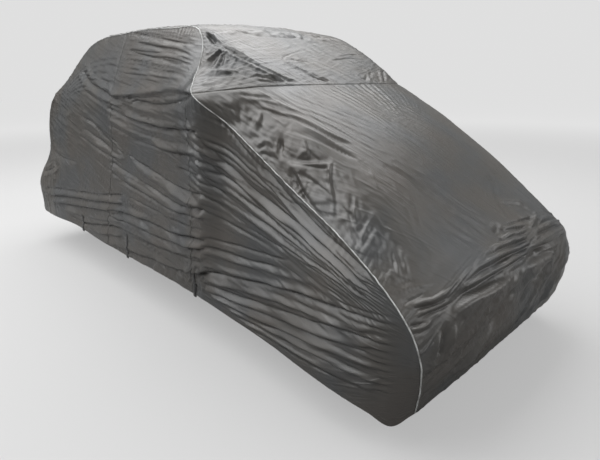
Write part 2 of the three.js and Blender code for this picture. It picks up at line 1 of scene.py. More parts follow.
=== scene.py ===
import bmesh
import bpy
import numpy as np
from mathutils import Matrix, Vector


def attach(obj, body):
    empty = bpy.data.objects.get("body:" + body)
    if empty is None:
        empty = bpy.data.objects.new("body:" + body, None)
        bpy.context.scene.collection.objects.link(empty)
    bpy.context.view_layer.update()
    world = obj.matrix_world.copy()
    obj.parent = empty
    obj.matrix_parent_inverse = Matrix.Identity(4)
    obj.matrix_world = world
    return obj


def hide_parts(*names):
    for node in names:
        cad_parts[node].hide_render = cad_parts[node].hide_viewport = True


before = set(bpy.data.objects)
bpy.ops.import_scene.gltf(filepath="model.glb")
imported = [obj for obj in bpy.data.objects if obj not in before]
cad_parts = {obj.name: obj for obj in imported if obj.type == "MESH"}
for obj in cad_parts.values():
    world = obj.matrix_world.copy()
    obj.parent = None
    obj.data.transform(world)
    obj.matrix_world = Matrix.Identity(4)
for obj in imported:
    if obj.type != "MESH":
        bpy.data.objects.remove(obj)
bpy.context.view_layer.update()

# Hood panel. The first width of the centre strip, coated polyester cut wide at the nose, from the
# front hem over the nose and the hood to the cross seam. The front edge is turned under and
# stitched, and both long edges are sewn into the piping. Metres; z is 0 on the ground.
MM = 0.001
ROOF_REST = np.array((0.0, 1.900, 1.868))   # the frame's origin, measured from the ground
CLOTH = 1.6 * MM

# Cross-sections of the strip in millimetres, from the front hem to the rear hem: the middle line
# (y, z), the bend over to the side (x, y, z) and the seam (x, y, z).
SECTIONS = [
    ("front hem",      (-475, 285),  (550, -460, 262),  (780, -400, 185)),
    ("front face",     (-520, 450),  (560, -505, 420),  (820, -440, 360)),
    ("under the nose", (-530, 620),  (580, -515, 560),  (840, -445, 460)),
    ("nose",           (-490, 755),  (600, -470, 690),  (850, -410, 570)),
    ("nose top",       (-360, 860),  (620, -350, 790),  (850, -335, 660)),
    ("slope start",    (-220, 955),  (640, -215, 890),  (840, -220, 750)),
    ("front slope",    (-50, 1085),  (660, -50, 1015),  (820, -50, 850)),
    ("slope middle",   (200, 1255),  (670, 180, 1165),  (785, 250, 990)),
    ("slope end",      (380, 1355),  (670, 360, 1285),  (780, 400, 1070)),
    ("shelf",          (500, 1420),  (660, 500, 1365),  (790, 590, 1190)),
    ("below the seam", (560, 1450),  (650, 600, 1425),  (800, 770, 1300)),
    ("cross seam",     (620, 1485),  (630, 700, 1480),  (880, 955, 1450)),
    ("shoulder point", (720, 1545),  (620, 790, 1560),  (820, 1030, 1500)),
    ("upper slope",    (900, 1650),  (610, 920, 1655),  (700, 1130, 1610)),
    ("slope top",      (1030, 1725), (610, 1030, 1715), (640, 1180, 1705)),
    ("roof front",     (1150, 1800), (570, 1150, 1785), (600, 1260, 1785)),
    ("roof",           (1600, 1860), (520, 1600, 1848), (590, 1600, 1830)),
    ("roof middle",    (2200, 1880), (520, 2200, 1868), (590, 2200, 1848)),
    ("roof rear",      (2900, 1840), (520, 2880, 1825), (590, 2850, 1800)),
    ("tail slope",     (3400, 1600), (550, 3380, 1580), (640, 3350, 1545)),
    ("tail",           (3820, 1370), (600, 3790, 1350), (700, 3700, 1330)),
    ("rear face top",  (3960, 1120), (620, 3930, 1120), (715, 3810, 1130)),
    ("rear face",      (3970, 860),  (640, 3955, 860),  (735, 3830, 900)),
    ("rear skirt",     (3980, 600),  (700, 3975, 600),  (860, 3890, 580)),
    ("rear hem",       (3960, 370),  (720, 3950, 360),  (850, 3900, 345)),
]
ROW = {name: row for row, (name, *_) in enumerate(SECTIONS)}
LAST_ROW = len(SECTIONS) - 1
BEND_SHARE = 0.78        # where the bend lies, as a share of the half width
BEND_ROUNDING = 0.1
CROWN_POWER = 2.6
HALF_WIDTH = 0.85        # of the strip over the hood, seam to middle
SEAM_WIDENING = 1.3      # the strip's edge runs aslant, so it is farther to the seam by this much
COLUMN_PLAN = (
    (0, 0.15, 0.33, 0.66, 0.86, 1),             # share of the columns
    (-1, -0.88, -0.70, -0.15, 0.45, 1),         # share of the half width that they reach
)
FAR_OFF = 9.0            # farther from an edge than any place on the cloth
HEM_CALM = 0.35          # share of a fold's height that is left at the hem
HEM_CALMED = 0.12        # how far from the hem folds have their whole height
HEM_DEPTH = 0.026        # the turned-under cloth, which stands out a little
HEM_STEP = 1.2 * MM
PIPING_FLAT = 0.022      # folds begin this far from the piping and the cut edges
CUT_FLAT = 0.012
GROOVE_WIDTH = 0.005     # of the groove where two widths are sewn together


def smooth(value):
    v = np.clip(value, 0, 1)
    return v * v * (3 - 2 * v)


def turned(u, v, angle):
    """The same places in axes turned by an angle in degrees."""
    c, s = np.cos(np.radians(angle)), np.sin(np.radians(angle))
    return u * c + v * s, v * c - u * s


def curve_through(points):
    """A smooth curve through points, as a function of places in their list."""
    points = np.asarray(points, float)
    span = np.linalg.norm(np.diff(points, axis=0), axis=1)
    ends = np.vstack([2 * points[0] - points[1], points, 2 * points[-1] - points[-2]])
    before = np.r_[span[0], span][:, None]
    after = np.r_[span, span[-1]][:, None]
    slope = (points - ends[:-2]) * after / (before * (before + after))
    slope = slope + (ends[2:] - points) * before / (after * (before + after))

    def at(place):
        place = np.asarray(place, float)
        row = np.clip(np.floor(place).astype(int), 0, len(points) - 2)
        f = (place - row)[..., None]
        reach = span[row][..., None]
        return (points[row] * (2 * f**3 - 3 * f**2 + 1) + points[row + 1] * (3 * f**2 - 2 * f**3)
                + slope[row] * reach * (f**3 - 2 * f**2 + f)
                + slope[row + 1] * reach * (f**3 - f**2))
    return at


def length_along(points):
    return np.r_[0, np.cumsum(np.linalg.norm(np.diff(points, axis=0), axis=1))]


mid_line = curve_through([(0, y * MM, z * MM) for _, (y, z), _, _ in SECTIONS])
bend_line = curve_through([np.array(bend) * MM for _, _, bend, _ in SECTIONS])
seam_line = curve_through([np.array(seam) * MM for *_, seam in SECTIONS])

# Length along the middle line from the front hem, for every place in SECTIONS.
PLACES = np.linspace(0, LAST_ROW, 4001)
LENGTHS = length_along(mid_line(PLACES))


def strip_point(place, share):
    """The taut strip at a place in SECTIONS and a share of the half width."""
    mid, bend, seam = mid_line(place), bend_line(place), seam_line(place)
    out = np.abs(share)[..., None]

    def on_top(s):
        fall = (s / BEND_SHARE) ** CROWN_POWER
        x = bend[..., :1] * s / BEND_SHARE
        return np.concatenate([x, mid[..., 1:] * (1 - fall) + bend[..., 1:] * fall], axis=-1)

    def beyond(s):
        return bend + (seam - bend) * (s - BEND_SHARE) / (1 - BEND_SHARE)

    start, end = BEND_SHARE - BEND_ROUNDING, BEND_SHARE + BEND_ROUNDING
    k = np.clip((out - start) / (end - start), 0, 1)
    rounded = (on_top(np.full_like(out, start)) * (1 - k) ** 2 + 2 * k * (1 - k) * bend
               + k * k * beyond(np.full_like(out, end)))
    point = np.where(out <= start, on_top(out), np.where(out >= end, beyond(out), rounded))
    point[..., 0] *= np.sign(share)
    return point


HILLS = 61       # after this many hills the noise repeats


def hill_heights(seed):
    """Uneven heights from -1 to 1 for whole numbers i and k."""
    table = np.random.RandomState(seed).uniform(-1, 1, (HILLS, HILLS))

    def height(i, k):
        return table[i % HILLS, k % HILLS]
    return height


def noise(u, v, seed):
    """Smooth uneven hills from -1 to 1, about one unit wide."""
    corner = hill_heights(seed)
    i, k = np.floor(u).astype(int), np.floor(v).astype(int)
    f, g = smooth(u - i), smooth(v - k)
    low = corner(i, k) * (1 - f) + corner(i + 1, k) * f
    high = corner(i, k + 1) * (1 - f) + corner(i + 1, k + 1) * f
    return low * (1 - g) + high * g


def smooth_between(u, stations, column):
    """A value that runs smoothly through stations, which are (u, value, value...)."""
    stations = sorted(stations)
    line = curve_through([(s[0], s[column]) for s in stations])(
        np.linspace(0, len(stations) - 1, 40 * len(stations)))
    return np.interp(u, line[:, 0], line[:, 1])


def fold_family(u, v, stations, count, height, seed, fade):
    """Roughly parallel folds between two lines, given by stations (u, first v, last v). They die
    out before fade[0] and after fade[3], and are full between fade[1] and fade[2]."""
    first, last = smooth_between(u, stations, 1), smooth_between(u, stations, 2)
    t = (v - first) / (last - first)
    phase = t * count + 0.5 * noise(u * 1.7, t * 2.3, seed) + 0.14 * noise(u * 4.1, t * 5, seed + 1)
    wave = 2 * np.abs(np.sin(np.pi * phase)) ** 0.75 - 1.15
    strength = 0.62 + 0.55 * noise(u * 1.9, t * count * 0.55, seed + 2)
    window = smooth(t / 0.1) * smooth((1 - t) / 0.1)
    window = window * smooth((u - fade[0]) / (fade[1] - fade[0]))
    window = window * smooth((fade[3] - u) / (fade[3] - fade[2]))
    return height * wave * strength * window


def crease(u, v, kind, width, height, *corners):
    """One fold along a smooth line. A soft one is a rounded trough or ridge, a sharp one comes to
    an edge, and a lip steps up on the left of the line's direction."""
    points = np.array(corners)
    path = curve_through(points)(np.linspace(0, len(points) - 1, 8 * len(points) - 7))
    reach = 3.2 * width
    near = ((u > path[:, 0].min() - reach) & (u < path[:, 0].max() + reach)
            & (v > path[:, 1].min() - reach) & (v < path[:, 1].max() + reach))
    out = np.zeros_like(u)
    if not near.any():
        return out
    a, b = u[near], v[near]
    best = np.full(a.shape, np.inf)
    side, place = np.zeros(a.shape), np.zeros(a.shape)
    passed = length_along(path)
    for k, step in enumerate(np.diff(path, axis=0)):
        length = passed[k + 1] - passed[k]
        t = np.clip(((a - path[k, 0]) * step[0] + (b - path[k, 1]) * step[1]) / length ** 2, 0, 1)
        da, db = a - path[k, 0] - t * step[0], b - path[k, 1] - t * step[1]
        far = np.hypot(da, db)
        closer = far < best
        best = np.where(closer, far, best)
        side = np.where(closer, np.sign(step[0] * db - step[1] * da), side)
        place = np.where(closer, passed[k] + t * length, place)
    taper = min(5 * width, 0.4 * passed[-1])
    ends = smooth(place / taper + 0.15) * smooth((passed[-1] - place) / taper + 0.15)
    q = best / width
    if kind == "soft":
        profile = (1 - 0.5 * q**2) * np.exp(-q**2)
    elif kind == "sharp":
        profile = 1.25 * np.exp(-1.6 * q) - 0.35 * np.exp(-(q / 2) ** 2)
    else:
        profile = side * np.tanh(1.8 * q) * np.exp(-(q / 2.1) ** 2)
    uneven = 0.85 + 0.5 * noise(place * 6 + 40 * points[0, 0], place * 1.3 + 40 * points[0, 1], 7)
    out[near] = height * profile * ends * uneven
    return out


def wrinkles(u, v, angle, length, width, seed):
    """Small uneven wrinkles, about 1 high, long in one direction (degrees) and narrow across."""
    along, across = turned(u, v, angle)
    along, across = along / length, across / width
    across = across + 0.9 * noise(along * 0.8, across * 0.3, seed + 1)
    coarse = 1 - np.abs(noise(along, across, seed))
    fine = 1 - np.abs(noise(along * 1.9 + 7, across * 2.1, seed + 2))
    return coarse**3 + 0.4 * fine**3 - 0.45


def patch(u, v, centre, radii, angle=0):
    """1 in the middle of an ellipse and 0 outside it, with a soft edge."""
    along, across = turned(u - centre[0], v - centre[1], angle)
    return smooth(1.6 - 1.2 * ((along / radii[0]) ** 2 + (across / radii[1]) ** 2))


def crumple(u, v, size, seed):
    """Flat facets between crisp creases, as thin coated cloth takes when it is bunched by hand."""
    total = 0
    for share, shrink, angle in ((1.0, 1.0, 20), (0.55, 0.52, 65)):
        a, b = turned(u, v, angle)
        a, b = a / (size * shrink), b / (size * shrink)
        a, b = a + 0.7 * noise(a * 0.8, b * 0.8, seed), b + 0.7 * noise(a * 0.8, b * 0.8, seed + 1)
        corner = hill_heights(seed + angle)
        i, k = np.floor(a).astype(int), np.floor(b).astype(int)
        f, g = a - i, b - k
        here, beyond = corner(i, k), corner(i + 1, k + 1)
        right, above = corner(i + 1, k), corner(i, k + 1)
        below_diagonal = here + (right - here) * f + (beyond - right) * g
        above_diagonal = here + (beyond - above) * f + (above - here) * g
        total = total + share * np.where(f > g, below_diagonal, above_diagonal)
    return total


def bunched(u, v, places):
    """Cloth crumpled in oval places: each has its centre, radii and angle, the height and size of
    its facets, how far they are squeezed across and along, and a seed."""
    height = 0
    for centre, radii, angle, rise, size, (across, along), seed in places:
        facets = crumple(u * across, v * along, size, seed)
        height = height + rise * patch(u, v, centre, radii, angle) * facets
    return height


def puckers(along, away, spacing, reach, height, seed):
    """Short gathers square to a seam: along it, away from it."""
    phase = along / spacing + 0.8 * noise(along * 5, away * 6, seed)
    strength = 0.5 + 0.7 * noise(along * 9, away * 3 + 5, seed + 1)
    rise = smooth(away / 0.012) * np.exp(-(away / reach) ** 1.5)
    return height * np.sin(2 * np.pi * phase) * np.clip(strength, 0, 1.3) * rise


def outward(points):
    normal = np.cross(np.gradient(points, axis=1), np.gradient(points, axis=0))
    return normal / np.linalg.norm(normal, axis=2, keepdims=True)


def new_piece(name, bm, material):
    """A smooth object of one material from a bmesh, with its place in its mesh."""
    mesh = bpy.data.meshes.new(name)
    bm.to_mesh(mesh)
    bm.free()
    mesh.polygons.foreach_set("use_smooth", np.ones(len(mesh.polygons), bool))
    mesh.materials.append(material)
    piece = bpy.data.objects.new(name, mesh)
    bpy.context.scene.collection.objects.link(piece)
    return piece


def give_thickness(piece, thickness, offset):
    wall = piece.modifiers.new("thickness", "SOLIDIFY")
    wall.thickness = thickness
    wall.offset = offset


def sheet_of_cloth(name, points, plan, pull, from_edge, along_edge, from_hem):
    """A thin closed sheet over a grid of points. Its flat plan and its pull are UV maps, and the
    distances from its edges and its hem are attributes."""
    rows, columns = points.shape[:2]
    bm = bmesh.new()
    bmesh.ops.create_grid(bm, x_segments=columns - 1, y_segments=rows - 1, size=1)
    piece = new_piece(name, bm, coated_polyester)
    mesh = piece.data
    mesh.vertices.foreach_set("co", (points - ROOF_REST).reshape(-1).astype(np.float32))
    corner = np.empty(len(mesh.loops), np.int32)
    mesh.loops.foreach_get("vertex_index", corner)
    for label, places in (("cloth", plan), ("pull", pull)):
        layer = mesh.uv_layers.new(name=label)
        places = np.stack(places, axis=-1).reshape(-1, 2)
        layer.data.foreach_set("uv", places[corner].reshape(-1).astype(np.float32))
    for label, values in (("from_edge", from_edge), ("along_edge", along_edge), ("hem", from_hem)):
        attribute = mesh.attributes.new(label, "FLOAT", "POINT")
        attribute.data.foreach_set("value", values.reshape(-1).astype(np.float32))
    mesh.update()
    give_thickness(piece, CLOTH, -1)
    return piece


def fit_piece(piece, node):
    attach(piece, "root")
    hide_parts(node)


def set_inputs(tree, node, inputs):
    """Each input, by name or number, takes a plain value or a link."""
    for label, value in inputs.items():
        if isinstance(value, bpy.types.NodeSocket):
            tree.links.new(value, node.inputs[label])
        else:
            node.inputs[label].default_value = value


def add_node(tree, kind, inputs, **settings):
    node = tree.nodes.new("ShaderNode" + kind)
    for setting, value in settings.items():
        setattr(node, setting, value)
    set_inputs(tree, node, inputs)
    return node


def math(tree, operation, *values):
    return add_node(tree, "Math", dict(enumerate(values)), operation=operation).outputs[0]


def bump(tree, height, distance, strength, under=None):
    """Relief from a height, on top of the relief under it."""
    inputs = {"Strength": strength, "Distance": distance, "Height": height}
    if under:
        inputs["Normal"] = under
    return add_node(tree, "Bump", inputs).outputs[0]


def colour_ramp(tree, source, first, last, *between):
    """Colours blended by a value; each stop is a value and its colour."""
    ramp = add_node(tree, "ValToRGB", {"Fac": source})
    stops = ramp.color_ramp.elements
    for stop, (position, colour) in zip(stops, (first, last)):
        stop.position = position
        stop.color = colour
    for position, colour in between:
        stops.new(position).color = colour
    return ramp.outputs["Color"]


def thread_over(tree, stitches, thread, cloth):
    """The thread's colour on the stitches, the cloth's beside them."""
    mix = add_node(tree, "Mix", {"Factor": stitches, "A": cloth, "B": thread}, data_type="RGBA")
    return mix.outputs["Result"]


def new_group(name, inputs, outputs):
    """A shader node group with named inputs and outputs, its entry and its exit."""
    group = bpy.data.node_groups.new(name, "ShaderNodeTree")
    for label, kind in inputs.items():
        group.interface.new_socket(name=label, in_out="INPUT", socket_type="NodeSocket" + kind)
    for label in outputs:
        group.interface.new_socket(name=label, in_out="OUTPUT", socket_type="NodeSocketFloat")
    return group, group.nodes.new("NodeGroupInput").outputs, group.nodes.new("NodeGroupOutput")


def new_material(name):
    material = bpy.data.materials.new(name)
    material.use_nodes = True
    tree = material.node_tree
    return material, tree, tree.nodes["Principled BSDF"]


WEAVE_TURNS = 3600       # of the weave's waves, in radians to a metre
RIDGES = [
    # output, the input it follows, its stretch, ridges to a metre and their detail
    ("Pull Height", "Pull", (0.12, 1.0, 1), 52, 2),
    ("Crinkle Height", "Plan", (0.8, 1.1, 1), 13, 4),
]


def cloth_group():
    """Fine relief of the coated cloth: its weave, the lines of its pull and its small crinkles."""
    group, entry, leave = new_group(
        "coated cloth relief", {"Plan": "Vector", "Pull": "Vector"},
        ("Weave Height", "Pull Height", "Crinkle Height", "Blotch"))
    threads = add_node(group, "VectorMath", {0: entry["Plan"], "Scale": WEAVE_TURNS},
                       operation="SCALE")
    across = add_node(group, "SeparateXYZ", {0: threads.outputs[0]}).outputs
    weave = math(group, "MULTIPLY", math(group, "SINE", across["X"]),
                 math(group, "SINE", across["Y"]))
    blotch = add_node(group, "TexNoise", {"Vector": entry["Plan"], "Scale": 2.3, "Detail": 3})
    set_inputs(group, leave, {"Weave Height": weave, "Blotch": blotch.outputs["Fac"]})
    for label, source, stretch, scale, detail in RIDGES:
        shape = add_node(group, "Mapping", {"Vector": entry[source], "Scale": stretch})
        ridges = add_node(group, "TexNoise", {}, noise_type="RIDGED_MULTIFRACTAL", normalize=False)
        set_inputs(group, ridges, {"Vector": shape.outputs[0], "Scale": scale, "Detail": detail,
                                   "Roughness": 0.42, "Distortion": 0.3})
        set_inputs(group, leave, {label: ridges.outputs["Fac"]})
    return group


STITCH_LENGTH = 4.5 * MM
STITCH_WIDTH = 1.1 * MM
STITCH_SHARE = -0.35     # a stitch shows where its wave is above this, so longer than its gap


def stitch_group():
    """A line of dashes at a set distance from an edge."""
    group, entry, leave = new_group(
        "stitch line", {"From Edge": "Float", "Along": "Float", "Line At": "Float"}, ("Stitch",))
    off_line = math(group, "ABSOLUTE", math(group, "SUBTRACT", entry["From Edge"], entry["Line At"]))
    on_line = math(group, "LESS_THAN", off_line, STITCH_WIDTH / 2)
    turns = math(group, "MULTIPLY", entry["Along"], 2 * np.pi / STITCH_LENGTH)
    dash = math(group, "GREATER_THAN", math(group, "SINE", turns), STITCH_SHARE)
    set_inputs(group, leave, {"Stitch": math(group, "MULTIPLY", on_line, dash)})
    return group


CLOTH_RELIEF = cloth_group()
STITCH_LINE = stitch_group()

# Coated polyester: charcoal, woven fine, with a satin face that takes the light of the sky and a
# faint brown and blue cast from fold to fold. A dark line of stitches follows each seam and hem.
CHARCOAL = (0.070, 0.066, 0.060, 1)
BROWN_CAST = (0.076, 0.068, 0.060, 1)
BLUE_CAST = (0.062, 0.064, 0.065, 1)
THREAD = (0.024, 0.024, 0.023, 1)
STITCH_FROM_SEAM = 7 * MM
STITCH_FROM_HEM = 24 * MM
SATIN = (0.25, 0.33)     # least and greatest roughness
CLOTH_BUMPS = [
    # height, distance and strength, the coarsest first
    ("Crinkle Height", 3.0 * MM, 0.6),
    ("Pull Height", 3.8 * MM, 0.8),
    ("Weave Height", 0.3 * MM, 0.25),
]


def cloth_material():
    material, tree, shader = new_material("coated polyester")
    plan, pull = (add_node(tree, "UVMap", {}, uv_map=name).outputs[0] for name in ("cloth", "pull"))
    relief = add_node(tree, "Group", {}, node_tree=CLOTH_RELIEF)
    set_inputs(tree, relief, {"Plan": plan, "Pull": pull})
    blotch = relief.outputs["Blotch"]
    from_edge, along_edge, from_hem = (
        add_node(tree, "Attribute", {}, attribute_name=name).outputs["Fac"]
        for name in ("from_edge", "along_edge", "hem"))
    along_hem = add_node(tree, "SeparateXYZ", {0: plan}).outputs["X"]
    lines = []
    for distance, along, line_at in ((from_edge, along_edge, STITCH_FROM_SEAM),
                                     (from_hem, along_hem, STITCH_FROM_HEM)):
        line = add_node(tree, "Group", {}, node_tree=STITCH_LINE)
        set_inputs(tree, line, {"From Edge": distance, "Along": along, "Line At": line_at})
        lines.append(line.outputs["Stitch"])
    stitches = math(tree, "MAXIMUM", *lines)
    cast = colour_ramp(tree, blotch, (0.38, BLUE_CAST), (0.66, BROWN_CAST), (0.52, CHARCOAL))
    gloss = add_node(tree, "MapRange", {"Value": blotch, "To Min": SATIN[0], "To Max": SATIN[1]})
    normal = None
    for label, distance, strength in CLOTH_BUMPS:
        normal = bump(tree, relief.outputs[label], distance, strength, normal)
    set_inputs(tree, shader, {
        "Base Color": thread_over(tree, stitches, THREAD, cast),
        "Roughness": gloss.outputs[0],
        "Specular IOR Level": 0.68,
        "Normal": bump(tree, stitches, 0.5 * MM, 0.8, normal),
    })
    return material


coated_polyester = cloth_material()


def finish_edges(height, from_cut, from_hem, groove):
    """Folds with the groove of a sewn cut edge and the double cloth of a hem."""
    height = height - groove * np.exp(-(from_cut / GROOVE_WIDTH) ** 2)
    return height + HEM_STEP * (from_hem < HEM_DEPTH)


def calm_at_hem(height, from_hem):
    return height * (HEM_CALM + (1 - HEM_CALM) * smooth(from_hem / HEM_CALMED))


def strip_panel(name, rows, columns, row_plan, folds, pull, front_hem=False, rear_hem=False):
    """One width of the centre strip. row_plan gives a share of the rows and the length along the
    cloth that they reach; rows and columns lie closer where the folds are small."""
    lengths = np.interp(np.linspace(0, 1, rows), *zip(*row_plan))
    place = np.interp(lengths, LENGTHS, PLACES)[:, None]
    share = np.interp(np.linspace(0, 1, columns), *COLUMN_PLAN)[None, :]
    place, share = place + 0 * share, share + 0 * place
    s = np.interp(place, PLACES, LENGTHS)
    u = share * HALF_WIDTH
    far_off = np.full_like(s, FAR_OFF)
    from_start, from_end = s - s[0, 0], s[-1, 0] - s
    from_hem = from_start if front_hem else from_end if rear_hem else far_off
    from_cut = np.minimum(far_off if front_hem else from_start, far_off if rear_hem else from_end)
    from_seam = (1 - np.abs(share)) * HALF_WIDTH * SEAM_WIDENING
    height = folds(u, s) * smooth(from_seam / PIPING_FLAT) * smooth(from_cut / CUT_FLAT)
    height = calm_at_hem(height, from_hem)
    seam_side = puckers(s + 3 * (share > 0), from_seam, 0.034, 0.06, 0.0022, 401)
    cut_side = puckers(u, from_cut, 0.03, 0.05, 0.002, 431)
    height = height + seam_side * smooth(from_cut / 0.05) + cut_side * smooth(from_seam / 0.05)
    height = finish_edges(height, from_cut, from_hem, 1.8 * MM)
    taut = strip_point(place, share)
    points = taut + outward(taut) * height[..., None]
    edge = np.minimum(from_seam, from_cut)
    along = np.where(from_seam < from_cut, s, u)
    return sheet_of_cloth(name, points, (u, s), pull(u, s), edge, along, from_hem)


